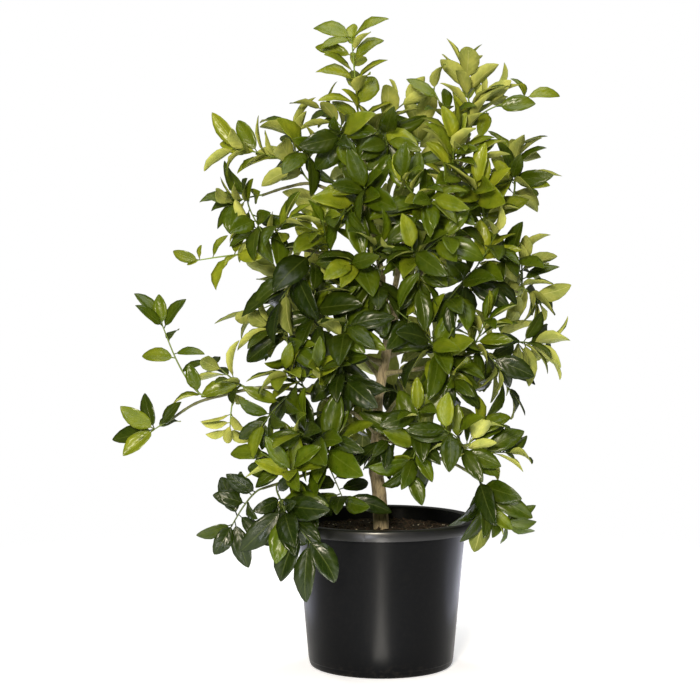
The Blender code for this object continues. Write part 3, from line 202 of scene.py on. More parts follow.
# One row for each twig: the stem it grows from ("main" is the spray's own first twig), how far
# along that stem, its tip, its leaves, the leaves' length and how young they are, from 0 (old and
# dark) to 1. The leaves are a number, or a list of (place along the twig, reach of the leaf).
SPRAYS = {
    "top_leader": [
        ("leader_left", 1.0, (-0.055, 0, 1.165), [
            (1.0, (-0.069, 0.02, 0.030)), (1.0, (0.069, -0.02, 0.033)),
            (0.96, (-0.076, -0.02, 0.006)), (0.85, (0.037, -0.05, 0.032)),
            (0.80, (-0.074, 0.02, 0.024)), (0.75, (0.058, 0.02, 0.043)),
            (0.62, (-0.056, -0.03, 0.071)), (0.52, (0.061, -0.03, 0.041)),
            (0.55, (-0.071, 0.03, 0.024)), (0.40, (0.03, -0.06, 0.045)),
            (0.30, (-0.067, -0.03, 0.007)), (0.27, (0.041, 0.04, 0.059)),
            (0.68, (0.01, 0.07, 0.03)), (0.44, (-0.01, 0.07, 0.04)), (0.9, (0.0, 0.05, 0.05)),
            (0.2, (-0.045, -0.045, 0.04)), (0.12, (0.06, -0.03, 0.03)), (0.08, (-0.05, 0.03, 0.045)),
        ], 0.074, 0.95),
    ],
    "crown_left": [
        ("leader_left", 0.8, (-0.11, 0.02, 1.035), 9, 0.066, 0.5),
        ("main", 0.4, (-0.075, -0.09, 0.97), 6, 0.068, 0.35),
    ],
    "crown_right": [
        ("leader_left", 0.84, (0.045, 0.05, 1.05), 8, 0.07, 0.7),
        ("main", 0.4, (0.01, -0.07, 0.965), 6, 0.066, 0.45),
    ],
    "left_leader_front": [
        ("leader_left", 0.5, (-0.03, -0.11, 0.885), 8, 0.072, 0.4),
        ("main", 0.4, (-0.07, -0.13, 0.835), 6, 0.072, 0.45),
    ],
    "left_leader_low": [
        ("leader_left", 0.22, (-0.055, -0.13, 0.75), 8, 0.074, 0.4),
        ("main", 0.45, (0.005, -0.15, 0.785), 6, 0.076, 0.45),
        ("main", 0.2, (0.0, -0.13, 0.7), 5, 0.076, 0.3),
    ],
    "high_left_outer": [
        ("high_left", 0.55, (-0.17, 0.04, 1.01), 8, 0.072, 0.5),
        ("main", 0.35, (-0.115, -0.03, 0.955), 6, 0.07, 0.4),
        ("main", 0.15, (-0.27, -0.02, 0.96), 8, 0.07, 0.8),
    ],
    "high_left_tip": [
        ("high_left", 1.0, (-0.275, -0.03, 0.86), 7, 0.062, 0.6),
        ("main", 0.3, (-0.215, -0.08, 0.805), 6, 0.066, 0.45),
    ],
    "up_left_tip": [
        ("up_left", 1.0, (-0.335, -0.05, 0.755), [
            (1.0, (-0.048, 0, 0.017)), (0.97, (0.007, -0.02, 0.026)), (0.98, (-0.026, 0.01, -0.01)),
            (0.70, (0.026, 0.01, 0.046)), (0.35, (-0.026, -0.01, -0.065)),
            (0.15, (-0.028, -0.03, -0.019)), (0.2, (0.048, -0.03, -0.007)),
            (0.25, (0.015, 0.03, 0.048)),
        ], 0.05, 0.9),
    ],
    "up_left_mid": [
        ("up_left", 0.72, (-0.245, -0.04, 0.825), 7, 0.06, 0.55),
        ("main", 0.3, (-0.17, -0.11, 0.825), 6, 0.066, 0.5),
    ],
    "up_left_front": [
        ("up_left", 0.42, (-0.105, -0.12, 0.825), 7, 0.07, 0.7),
        ("main", 0.3, (-0.18, -0.13, 0.685), 7, 0.082, 0.15),
    ],
    "mid_left_tip": [
        ("mid_left", 1.0, (-0.21, -0.07, 0.635), 6, 0.06, 0.5),
        ("main", 0.2, (-0.155, -0.13, 0.585), 6, 0.066, 0.25),
    ],
    "mid_left_up": [
        ("mid_left", 0.6, (-0.125, -0.12, 0.705), 9, 0.078, 0.3),
    ],
    "mid_left_front": [
        ("mid_left", 0.4, (-0.065, -0.13, 0.54), 8, 0.072, 0.25),
        ("main", 0.3, (-0.06, -0.15, 0.645), 7, 0.076, 0.3),
    ],
    "far_left_tip": [
        ("far_left", 1.0, (-0.41, -0.12, 0.45), [
            (1.0, (-0.018, 0.01, 0.068)), (1.0, (-0.056, -0.02, 0.044)),
            (0.95, (-0.076, 0.02, -0.026)), (0.95, (-0.056, -0.02, -0.048)),
            (0.50, (0.04, -0.04, 0.043)), (0.8, (0.04, 0.05, 0.008)),
            (0.10, (-0.041, 0, -0.047)),
        ], 0.06, 0.4),
    ],
    "far_left_up": [
        ("far_left", 0.8, (-0.395, -0.11, 0.64), [
            (1.0, (-0.052, 0.01, 0.061)), (0.97, (-0.05, -0.03, 0.041)), (1.0, (-0.006, 0, 0.06)),
            (0.95, (0.042, 0, 0.056)), (0.60, (-0.064, 0.01, 0.007)), (0.65, (0.06, -0.01, 0.004)),
            (0.15, (-0.015, -0.01, 0.056)), (0.1, (-0.056, -0.01, -0.013)),
            (0.8, (0.01, 0.05, 0.02)),
        ], 0.06, 0.5),
    ],
    "far_left_mid": [
        ("far_left", 0.63, (-0.305, -0.11, 0.575), 6, 0.06, 0.3),
        ("main", 0.15, (-0.275, -0.09, 0.445), 5, 0.052, 1.0),
    ],
    "far_left_front": [
        ("far_left", 0.36, (-0.17, -0.16, 0.56), 7, 0.074, 0.6),
        ("main", 0.3, (-0.11, -0.17, 0.56), 6, 0.072, 0.5),
        ("main", 0.12, (-0.21, -0.17, 0.465), 8, 0.068, 0.25),
    ],
    "low_left_tip": [
        ("low_left", 1.0, (-0.265, -0.17, 0.285), [
            (1.0, (-0.07, 0.01, -0.022)), (1.0, (-0.035, -0.02, -0.06)), (0.9, (0.02, -0.01, -0.088)),
            (0.75, (0.058, -0.02, -0.055)), (0.8, (-0.035, 0.02, 0.07)), (0.5, (-0.06, -0.01, 0.015)),
            (0.45, (0.02, -0.06, -0.02)), (0.3, (-0.03, 0.05, 0.04)), (0.2, (-0.05, -0.03, 0.04)),
        ], 0.078, 0.1),
    ],
    "low_left_hang": [
        ("low_left", 0.85, (-0.125, -0.225, 0.265), [
            (1.0, (-0.01, -0.012, -0.112)), (0.95, (0.062, -0.01, -0.078)),
            (0.8, (-0.045, 0, -0.095)), (0.65, (0.055, -0.03, -0.035)), (0.55, (-0.025, -0.03, -0.085)),
            (0.45, (0.02, -0.06, 0.02)), (0.3, (-0.05, -0.03, -0.02)), (0.2, (0.03, -0.04, 0.04)),
        ], 0.084, 0.05),
        ("main", 0.25, (-0.165, -0.2, 0.3), 6, 0.08, 0.1),
    ],
    "low_left_yellow": [
        ("low_left", 0.72, (-0.155, -0.2, 0.39), 7, 0.072, 0.7),
        ("main", 0.3, (-0.21, -0.18, 0.415), 5, 0.064, 0.4),
        ("main", 0.12, (-0.15, -0.14, 0.325), 5, 0.074, 0.2),
    ],
    "low_left_front": [
        ("low_left", 0.42, (-0.09, -0.17, 0.44), 8, 0.076, 0.2),
        ("main", 0.4, (-0.145, -0.19, 0.455), 6, 0.072, 0.3),
        ("main", 0.15, (-0.068, -0.105, 0.322), [
            (1.0, (0.088, 0.01, -0.022)), (1.0, (0.05, -0.055, -0.008)),
            (0.92, (-0.01, -0.075, -0.02)), (0.85, (-0.062, 0.02, -0.018)),
            (0.75, (0.055, 0.05, 0.004)), (0.6, (-0.055, -0.045, 0.0)), (0.5, (0.05, -0.02, 0.045)),
        ], 0.07, 0.1),
    ],
    "low_right_tip": [
        ("low_right", 1.0, (0.185, -0.14, 0.315), 8, 0.078, 0.2),
        ("main", 0.15, (0.23, -0.09, 0.27), [
            (0.85, (0.058, 0, 0.032)), (0.85, (0.06, -0.01, -0.004)), (1.0, (0.05, 0.01, -0.009)),
            (0.6, (-0.011, -0.02, -0.048)), (0.95, (-0.012, 0.01, -0.036)),
            (0.5, (0.03, 0.02, -0.026)),
        ], 0.055, 0.6),
    ],
    "low_right_up": [
        ("low_right", 0.7, (0.18, -0.12, 0.46), 7, 0.066, 0.6),
        ("main", 0.3, (0.115, -0.16, 0.455), 6, 0.07, 0.4),
        ("main", 0.12, (0.23, -0.07, 0.405), 6, 0.062, 0.5),
    ],
    "low_right_in": [
        ("low_right", 0.35, (0.065, -0.13, 0.485), 7, 0.072, 0.35),
        ("main", 0.3, (0.05, -0.12, 0.375), 5, 0.066, 0.35),
        ("main", 0.2, (0.0, -0.13, 0.43), 5, 0.07, 0.2),
    ],
    "mid_right_tip": [
        ("mid_right", 1.0, (0.3, -0.03, 0.595), 8, 0.066, 0.4),
    ],
    "mid_right_up": [
        ("mid_right", 0.62, (0.19, -0.1, 0.65), 7, 0.068, 0.55),
        ("main", 0.2, (0.215, -0.1, 0.56), 5, 0.066, 0.25),
    ],
    "mid_right_front": [
        ("mid_right", 0.38, (0.085, -0.15, 0.61), 8, 0.078, 0.25),
        ("main", 0.3, (0.13, -0.14, 0.54), 7, 0.072, 0.35),
        ("main", 0.2, (0.03, -0.15, 0.665), 5, 0.076, 0.3),
    ],
    "out_right_outer": [
        ("out_right", 1.0, (0.262, 0.07, 0.765), 7, 0.068, 0.45),
        ("main", 0.3, (0.225, 0, 0.76), 5, 0.068, 0.4),
        ("main", 0.1, (0.292, 0.05, 0.68), 6, 0.062, 0.5),
    ],
    "out_right_front": [
        ("out_right", 0.45, (0.21, -0.06, 0.805), 8, 0.072, 0.6),
        ("main", 0.25, (0.12, -0.13, 0.685), 8, 0.082, 0.15),
    ],
    "high_right_tip": [
        ("high_right", 1.0, (0.245, 0.06, 0.96), 8, 0.068, 0.5),
        ("main", 0.3, (0.235, -0.01, 0.9), 6, 0.066, 0.5),
    ],
    "high_right_front": [
        ("high_right", 0.45, (0.17, -0.09, 0.89), 8, 0.072, 0.7),
    ],
    "right_leader_tip": [
        ("leader_right", 1.0, (0.15, -0.02, 1.1), 11, 0.068, 0.8),
        ("main", 0.25, (0.21, 0.03, 1.065), 6, 0.064, 0.6),
        ("main", 0.1, (0.268, 0.02, 1.055), [
            (1.0, (0.067, 0.01, 0.007)), (1.0, (-0.026, 0.01, 0.041)), (0.97, (-0.009, -0.03, 0.026)),
            (0.55, (0.078, -0.01, 0.01)), (0.8, (0.03, -0.04, 0.0)), (0.4, (-0.01, -0.03, -0.05)),
        ], 0.06, 0.75),
    ],
    "right_leader_left": [
        ("leader_right", 0.8, (0.095, -0.04, 1.065), 7, 0.07, 0.6),
    ],
    "right_leader_front": [
        ("leader_right", 0.62, (0.125, -0.11, 0.98), 9, 0.07, 0.75),
        ("main", 0.3, (0.18, -0.1, 0.95), 6, 0.068, 0.65),
    ],
    "right_leader_mid": [
        ("leader_right", 0.42, (0.035, -0.12, 0.9), 8, 0.074, 0.6),
        ("main", 0.4, (0.09, -0.15, 0.865), 6, 0.072, 0.65),
    ],
    "right_leader_low": [
        ("leader_right", 0.25, (0.055, -0.15, 0.775), 7, 0.076, 0.45),
        ("main", 0.3, (0.115, -0.15, 0.8), 6, 0.074, 0.6),
        ("main", 0.15, (0.065, -0.12, 0.71), 5, 0.074, 0.4),
    ],
    "back_top": [
        ("leader_back", 1.0, (0.075, 0.17, 1.015), 9, 0.07, 0.65),
        ("main", 0.3, (0.145, 0.19, 0.955), 6, 0.07, 0.5),
        ("main", 0.2, (-0.01, 0.17, 0.98), 6, 0.07, 0.6),
    ],
    "back_high_left": [
        ("leader_back", 0.6, (-0.06, 0.2, 0.92), 8, 0.072, 0.45),
        ("main", 0.35, (-0.015, 0.25, 0.845), 6, 0.074, 0.4),
        ("main", 0.3, (-0.13, 0.18, 0.85), 6, 0.074, 0.5),
    ],
    "back_high_right": [
        ("leader_back", 0.4, (0.175, 0.22, 0.815), 8, 0.072, 0.45),
        ("main", 0.3, (0.075, 0.26, 0.755), 6, 0.074, 0.35),
        ("main", 0.3, (0.18, 0.15, 0.89), 6, 0.072, 0.55),
    ],
    "back_left_tip": [
        ("back_left", 1.0, (-0.2, 0.22, 0.73), 8, 0.074, 0.4),
        ("main", 0.15, (-0.14, 0.28, 0.65), 6, 0.074, 0.25),
        ("main", 0.15, (-0.25, 0.14, 0.65), 6, 0.07, 0.45),
    ],
    "back_left_in": [
        ("back_left", 0.5, (-0.05, 0.22, 0.7), 7, 0.074, 0.3),
        ("main", 0.3, (-0.12, 0.1, 0.74), 6, 0.07, 0.4),
    ],
    "back_right_tip": [
        ("back_right", 1.0, (0.26, 0.2, 0.63), 8, 0.072, 0.5),
        ("main", 0.15, (0.18, 0.26, 0.55), 6, 0.074, 0.25),
        ("main", 0.15, (0.25, 0.13, 0.5), 6, 0.07, 0.35),
    ],
    "back_right_in": [
        ("back_right", 0.5, (0.1, 0.22, 0.66), 7, 0.074, 0.3),
        ("main", 0.2, (0.14, 0.1, 0.46), 6, 0.072, 0.2),
    ],
    "back_low_tip": [
        ("back_low", 1.0, (0.035, 0.3, 0.52), 8, 0.074, 0.3),
        ("main", 0.15, (0.125, 0.25, 0.44), 6, 0.074, 0.2),
        ("main", 0.15, (-0.04, 0.26, 0.42), 6, 0.074, 0.15),
    ],
    "back_low_left": [
        ("back_low", 0.6, (-0.11, 0.21, 0.49), 8, 0.074, 0.25),
        ("main", 0.3, (-0.17, 0.12, 0.41), 6, 0.072, 0.2),
    ],
}


class LeafSlot(Enum):
    """The record's slots for foliage."""

    MATURE = "mature_leaves"
    YOUNG = "young_leaves"

    @classmethod
    def of(cls, tone: float) -> "LeafSlot":
        """The slot for foliage of that youth."""
        return cls.YOUNG if tone >= YOUNG_TONE else cls.MATURE


# ---------------------------------------------------------------- the plan of stems and leaves


def smooth_path(route: Sequence[Sequence[float]], per_span: int = 2) -> list[Vector]:
    """Points on a Catmull-Rom curve through a route.

    Args:
        route: The points that the curve passes through.
        per_span: How many steps each span is cut into.

    Returns:
        The curve's points, first and last included.
    """
    knots = [Vector(point) for point in route]
    ends = [2 * knots[0] - knots[1], *knots, 2 * knots[-1] - knots[-2]]
    path = []
    for a, b, c, d in zip(ends, ends[1:], ends[2:], ends[3:]):
        for step in range(per_span):
            t = step / per_span
            path.append(0.5 * (2 * b + (c - a) * t + (2 * a - 5 * b + 4 * c - d) * t * t
                               + (3 * b - a - 3 * c + d) * t ** 3))
    return [*path, knots[-1]]


def across(way: Vector) -> tuple[Vector, Vector]:
    """Two unit vectors at right angles to a direction and to each other."""
    side = way.cross(Vector((0, 0, 1)) if abs(way.z) < 0.9 else Vector((1, 0, 0))).normalized()
    return side, way.cross(side)


def trunk_radius(point: Vector) -> float:
    """The trunk's radius at a point: an even taper with the graft's swelling."""
    top = TRUNK_ROUTE[-1][2]
    rise = min(1.0, max(0.0, (point.z - POT_HEIGHT) / (TRUNK_MID_HEIGHT - POT_HEIGHT)))
    swell = GRAFT_SWELL * math.exp(-(((point.z - GRAFT_HEIGHT) / GRAFT_REACH) ** 2))
    thin = max(0.0, (point.z - TRUNK_MID_HEIGHT) / (top - TRUNK_MID_HEIGHT))
    upper = TRUNK_MID_RADIUS + (TRUNK_TOP_RADIUS - TRUNK_MID_RADIUS) * thin
    return TRUNK_FOOT_RADIUS + (upper - TRUNK_FOOT_RADIUS) * rise + swell


class Stem:
    """A tapering stem along a path of points."""

    def __init__(self, points: list[Vector],
                 radii: Callable[[Vector], float] | tuple[float, float]) -> None:
        """Measures the path.

        Args:
            points: The stem's axis.
            radii: The radius at each end, or a function of the point.
        """
        self.points = points
        self.lengths = [0.0]
        for a, b in zip(points, points[1:]):
            self.lengths.append(self.lengths[-1] + (b - a).length)
        if callable(radii):
            self.radii = [radii(point) for point in points]
        else:
            self.radii = [radii[0] + (radii[1] - radii[0]) * run / self.length for run in self.lengths]

    @property
    def length(self) -> float:
        """How long the stem is."""
        return self.lengths[-1]

    def at(self, t: float) -> tuple[Vector, Vector]:
        """The point and the direction a fraction t of the way along."""
        run = max(0.0, min(1.0, t)) * self.length
        i = 0
        while i < len(self.points) - 2 and self.lengths[i + 1] < run:
            i += 1
        a, b = self.points[i], self.points[i + 1]
        return a.lerp(b, (run - self.lengths[i]) / (b - a).length), (b - a).normalized()

    def guard(self, margin: float, skip: float = 0.0, sides: int = 6) -> Optional[BVHTree]:
        """A tree of the faces of a tube round the stem.

        Args:
            margin: How far the tube stands off the stem.
            skip: How much of the stem's start is left out, in metres.
            sides: How many sides the tube has.

        Returns:
            The tree, or nothing where the stem is shorter than skip.
        """
        corners, faces = [], []
        for i, point in enumerate(self.points):
            if self.lengths[i] < skip:
                continue
            _, way = self.at(self.lengths[i] / self.length)
            u, v = across(way)
            reach = self.radii[i] + margin
            for k in range(sides):
                angle = 2 * math.pi * k / sides
                corners.append(point + reach * (u * math.cos(angle) + v * math.sin(angle)))
        for ring in range(len(corners) // sides - 1):
            for k in range(sides):
                a, b = ring * sides + k, ring * sides + (k + 1) % sides
                faces.append((a, b, b + sides, a + sides))
        return BVHTree.FromPolygons(corners, faces) if faces else None


class Leaf:
    """A leaf's frame: where it grows, its first direction, its upper side, size, arch and youth."""

    def __init__(self, base: Vector, way: Vector, normal: Vector, length: float, width: float,
                 arch: float, tone: float) -> None:
        """Squares the upper side to the direction."""
        self.base, self.way, self.length, self.width = base, way, length, width
        self.normal = (normal - way * normal.dot(way)).normalized()
        self.side = self.way.cross(self.normal)
        self.arch, self.tone = arch, tone

    def spine(self, s: float) -> tuple[Vector, Vector]:
        """The midrib's point and the blade's normal a fraction s of the way to the tip."""
        turn = self.arch * s
        run = self.length * math.sin(turn) / self.arch
        drop = self.length * (1 - math.cos(turn)) / self.arch
        point = self.base + self.way * run - self.normal * drop
        return point, self.normal * math.cos(turn) + self.way * math.sin(turn)

    def corners(self, sections: Sequence[tuple[float, float]],
                grow: float = 0.0) -> tuple[list[tuple[Vector, ...]], Vector]:
        """Left, right, keel and top corners of each section, then the tip."""
        rows = []
        for s, share in sections:
            point, normal = self.spine(s)
            half = max(STALK_RADIUS, self.width / 2 * share) + grow
            keel = (KEEL if share else 1.5 * STALK_RADIUS) + grow
            rows.append((point + self.side * half, point - self.side * half,
                         point - normal * keel, point + normal * grow))
        return rows, self.spine(1.0 + grow / self.length)[0]

    def guard(self, whole: bool = True) -> BVHTree:
        """A tree of the faces of the leaf with air round it, or of its blade only."""
        sections = ROOMY_SECTIONS if whole else ((BLADE_START, 0.3), *ROOMY_SECTIONS[1:])
        rows, tip = self.corners(sections, LEAF_GAP)
        corners = [corner for left, right, keel, top in rows for corner in (left, keel, right, top)]
        faces = []
        for ring in (0, 4):
            for k in range(4):
                a, b = ring + k, ring + (k + 1) % 4
                faces.append((a, b, b + 4, a + 4))
        corners.append(tip)
        faces += [(8 + k, 8 + (k + 1) % 4, 12) for k in range(4)]
        return BVHTree.FromPolygons(corners, faces)

    def samples(self) -> list[Vector]:
        """Points all over the leaf, to keep it out of the pot."""
        rows, tip = self.corners(ROOMY_SECTIONS, LEAF_GAP)
        spots = [corner for row in rows for corner in row[:2]] + [tip]
        return spots + [(a + b) / 2 for a, b in zip(spots, spots[2:])]


def out_of_pot(points: Sequence[Vector]) -> bool:
    """Whether every point is clear of the pot, of the space over its soil and of the ground."""
    for point in points:
        if point.z < GROUND_GAP:
            return False
        if point.z < POT_HEIGHT + POT_GAP and point.xy.length < RIM_RADIUS + POT_GAP:
            return False
    return True


class Tree:
    """The places of every stem and leaf, drawn in the CAD model's order, and then the infill."""

    def __init__(self) -> None:
        """Grows the wood, the twigs and the CAD model's leaves."""
        self.wood = {"trunk_stem": Stem(smooth_path(TRUNK_ROUTE), trunk_radius)}
        for name, route in LEADERS.items():
            self.wood[name] = Stem(smooth_path(route), LEADER_RADII)
        for name, route in BRANCHES.items():
            self.wood[name] = Stem(smooth_path(route), BRANCH_RADII)
        self.stem_guards = [(name, stem.guard(STEM_GAP)) for name, stem in self.wood.items()]
        self.leaf_guards: list[tuple] = []
        self.twigs = {spray: self.grow_twigs(spray, rows) for spray, rows in SPRAYS.items()}
        self.leaves: dict[str, list[Leaf]] = {spray: [] for spray in SPRAYS}
        for explicit in (True, False):
            for spray, rows in SPRAYS.items():
                for row, twig in zip(rows, self.twigs[spray]):
                    if isinstance(row[3], list) == explicit:
                        self.grow_leaves(spray, row, twig)

    def grow_twigs(self, spray: str, rows: Sequence[tuple]) -> list[Stem]:
        """The spray's twigs, each led round the stems that are there already."""
        draw = random.Random(spray)
        twigs: list[Stem] = []
        for parent, place, tip, _, _, _ in rows:
            side_twig = parent == "main"
            stem = twigs[0] if side_twig else self.wood[parent]
            start, heading = stem.at(place if place < 1 else 1 - TWIG_SETBACK / stem.length)
            for attempt in range(TRIES):
                wander = Vector([draw.uniform(-1, 1) for _ in range(3)]) * TWIG_WANDER * attempt
                end = Vector(tip) + wander
                reach = (end - start).length
                handle = start + (heading * TWIG_ALONG + Vector((0, 0, TWIG_RISE))) * reach
                path = [start.lerp(handle, t).lerp(handle.lerp(end, t), t) for t in
                        [step / TWIG_SPANS for step in range(TWIG_SPANS + 1)]]
                twig = Stem(path, SIDE_TWIG_RADII if side_twig else TWIG_RADII)
                guard, far = (twig.guard(STEM_GAP, skip=skip) for skip in NEAR_PARENT)
                if all(not (far if name == parent else guard).overlap(other)
                       for name, other in self.stem_guards if name != spray and (far or name != parent)):
                    break
            twigs.append(twig)
            self.stem_guards.append((spray, twig.guard(STEM_GAP)))
        return twigs

    def grow_leaves(self, spray: str, row: tuple, twig: Stem) -> None:
        """The CAD model's leaves on one twig."""
        _, _, tip, leaves, size, tone = row
        draw = random.Random(f"{spray} {tip}")
        phase = draw.uniform(0, 2 * math.pi)
        if isinstance(leaves, list):
            for place, reach in leaves:
                self.place_leaf(spray, twig, draw, place, None, Vector(reach), size, tone)
            return
        for i in range(leaves):
            share = (i + 0.6) / (leaves - 0.4)
            place = FIRST_PLACE + (1 - FIRST_PLACE) * share ** CROWDING
            azimuth = phase + i * GOLDEN_ANGLE
            self.place_leaf(spray, twig, draw, place, azimuth, None, size, tone)

    def infill(self, share: float, shrink: float) -> int:
        """More leaves on every twig that has leaves placed by the rule.

        Args:
            share: How many more, as a share of the twig's leaves.
            shrink: The new leaves' size, as a share of the others'.

        Returns:
            How many leaves were added.
        """
        before = self.leaf_count()
        for spray, rows in SPRAYS.items():
            for (_, _, tip, leaves, size, tone), twig in zip(rows, self.twigs[spray]):
                if isinstance(leaves, list):
                    continue
                draw = random.Random(f"infill {spray} {tip}")
                phase = draw.uniform(0, 2 * math.pi)
                for i in range(round(leaves * share)):
                    azimuth = phase + i * GOLDEN_ANGLE
                    self.place_leaf(spray, twig, draw, draw.uniform(INFILL_FROM, 1.0), azimuth, None,
                                    size * shrink, tone)
        return self.leaf_count() - before

    def leaf_count(self) -> int:
        """How many leaves the tree has."""
        return sum(len(leaves) for leaves in self.leaves.values())

    def place_leaf(self, spray: str, twig: Stem, draw: random.Random, place: float,
                   azimuth: Optional[float], reach: Optional[Vector], size: float,
                   tone: float) -> None:
        """Puts one leaf on its twig where it meets nothing, or leaves it out.

        Args:
            spray: The name of the leaf's spray.
            twig: The twig that it grows from.
            draw: Where its chances are drawn from.
            place: How far along the twig it grows.
            azimuth: The angle round the twig that it leaves at, or nothing where reach says.
            reach: From its base to its tip, or nothing where azimuth says.
            size: The twig's usual leaf length.
            tone: How young the twig is.
        """
        for attempt in range(TRIES):
            spread = attempt / TRIES
            t = min(1 - LEAF_INSET / twig.length, place + draw.uniform(-NEXT_PLACE, NEXT_PLACE) * spread)
            base, heading = twig.at(t)
            outward = Vector((base.x, base.y, 0)).normalized()
            age = min(1.0, max(0.0, tone - AGE_DROP + AGE_RANGE * draw.random() ** 3))
            if reach is None:
                u, v = across(heading)
                angle = azimuth + draw.uniform(-NEXT_TURN, NEXT_TURN) * spread
                splay = SPLAY - SPLAY_TO_TIP * t - SPLAY_TO_YOUTH * age
                splay = math.radians(splay + draw.uniform(*SPLAY_JITTER))
                way = heading * math.cos(splay)
                way += (u * math.cos(angle) + v * math.sin(angle)) * math.sin(splay)
                way += Vector((0, 0, RISE * age - HANG)) + outward * REACH_OUT
                length = size * LEAF_SCALE * draw.uniform(*LENGTH_JITTER)
                length *= FOOT_LENGTH - TIP_LENGTH_LOSS * t ** 3
                to_front, roll = draw.uniform(*FACE_FRONT), LEAF_ROLL
            else:
                way = reach.normalized()
                way += Vector([draw.uniform(-1, 1) for _ in range(3)]) * NEXT_SWING * spread
                length = reach.length * draw.uniform(*SET_LENGTH_JITTER)
                to_front, roll = draw.uniform(*SET_FACE_FRONT) / (PAST_YOUNG - age), LEAF_ROLL / 2
            way.normalize()
            length *= 1 - NEXT_SHRINK * spread
            face = Vector((0, -1 if base.y < FRONT_DEPTH else 1, 0))
            up = Vector((0, 0, FACE_UP)) + heading * (FACE_TWIG + YOUNG_FACE_TWIG * age)
            up += (outward * FACE_OUT + face * to_front) * (PAST_YOUNG - age)
            if abs(up.normalized().dot(way)) > NEARLY_ALONG:
                up = up + outward
            normal = Quaternion(way, draw.uniform(-roll, roll)) @ (up - way * up.dot(way))
            width = length * draw.uniform(*LEAF_WIDTH)
            arch = draw.uniform(*ARCH) + OLD_ARCH * (1 - age)
            if reach is not None:
                way = Quaternion(way.cross(normal).normalized(), arch / 2) @ way
            leaf = Leaf(base, way, normal, length, width, arch, age)
            if self.clear(leaf, spray, twig):
                self.leaves[spray].append(leaf)
                return

    def clear(self, leaf: Leaf, spray: str, twig: Stem) -> bool:
        """Whether a leaf meets no stem, no other leaf and not the pot; if so it is put on guard."""
        if not out_of_pot(leaf.samples()):
            return False
        whole, blade = leaf.guard(), leaf.guard(whole=False)
        if blade.overlap(twig.guard(STEM_GAP)):
            return False
        if any((blade if name == spray else whole).overlap(stem) for name, stem in self.stem_guards):
            return False
        middle, reach = leaf.spine(0.5)[0], leaf.length / 2 + 0.01
        for other_spray, other_middle, other_reach, other_whole, other_blade in self.leaf_guards:
            if (middle - other_middle).length > reach + other_reach:
                continue
            if other_spray == spray:
                if blade.overlap(other_whole) or whole.overlap(other_blade):
                    return False
            elif whole.overlap(other_whole):
                return False
        self.leaf_guards.append((spray, middle, reach, whole, blade))
        return True


# ---------------------------------------------------------------- modelling with Blender's tools


def select_only(*pieces: bpy.types.Object) -> None:
    """Deselects everything, then selects these pieces and makes the first one active."""
    bpy.ops.object.select_all(action="DESELECT")
    for piece in pieces:
        piece.select_set(True)
    bpy.context.view_layer.objects.active = pieces[0]


@contextmanager
def editing(piece: bpy.types.Object) -> Iterator[bmesh.types.BMesh]:
    """Edit mode on one piece, with nothing in it selected.

    Args:
        piece: The mesh object to edit.

    Yields:
        Its edit mesh, for choosing what the next operator acts on.
    """
    select_only(piece)
    bpy.ops.object.mode_set(mode="EDIT")
    bpy.ops.mesh.select_mode(type="VERT")
    bpy.ops.mesh.select_all(action="DESELECT")
    try:
        yield bmesh.from_edit_mesh(piece.data)
    finally:
        bpy.ops.object.mode_set(mode="OBJECT")


def pick(mesh: bmesh.types.BMesh, wanted: range) -> None:
    """Selects the vertices of an edit mesh that have these numbers, and no others."""
    for number, vertex in enumerate(mesh.verts):
        vertex.select = number in wanted
    mesh.select_flush_mode()


def apply_modifier(piece: bpy.types.Object, kind: str, **settings: Any) -> None:
    """Adds a modifier with these settings and applies it."""
    modifier = piece.modifiers.new(kind.lower(), kind)
    for name, value in settings.items():
        setattr(modifier, name, value)
    select_only(piece)
    bpy.ops.object.modifier_apply(modifier=modifier.name)


def smooth(piece: bpy.types.Object, under: Optional[float] = None) -> None:
    """Shades a piece smooth, all over or only across edges that turn less than an angle."""
    select_only(piece)
    if under is None:
        bpy.ops.object.shade_smooth()
    else:
        bpy.ops.object.shade_smooth_by_angle(angle=under)


def dress(piece: bpy.types.Object, *materials: bpy.types.Material) -> None:
    """Gives a piece these materials, in place of any that it has."""
    piece.data.materials.clear()
    for material in materials:
        piece.data.materials.append(material)


def joined(name: str, pieces: Sequence[bpy.types.Object]) -> bpy.types.Object:
    """Joins pieces into the first one, and names it."""
    select_only(*pieces)
    if len(pieces) > 1:
        bpy.ops.object.join()
    pieces[0].name = name
    pieces[0].data.name = name
    return pieces[0]


def copy_of(piece: bpy.types.Object) -> bpy.types.Object:
    """A copy of a piece with a mesh of its own."""
    made = piece.copy()
    made.data = piece.data.copy()
    bpy.context.scene.collection.objects.link(made)
    return made


def points_of(piece: bpy.types.Object) -> np.ndarray:
    """The places of a mesh's vertices, one row each."""
    places = np.empty(len(piece.data.vertices) * 3, np.float32)
    piece.data.vertices.foreach_get("co", places)
    return places.reshape(-1, 3)


def move_points(piece: bpy.types.Object, places: np.ndarray) -> None:
    """Gives a mesh's vertices new places."""
    piece.data.vertices.foreach_set("co", np.asarray(places, np.float32).ravel())
    piece.data.update()


def mark(piece: bpy.types.Object, name: str, values: float | np.ndarray) -> None:
    """Writes a number on every vertex of a mesh, for its material to read."""
    layer = piece.data.attributes.new(name, "FLOAT", "POINT")
    layer.data.foreach_set("value", np.broadcast_to(values, len(piece.data.vertices)).astype(np.float32))


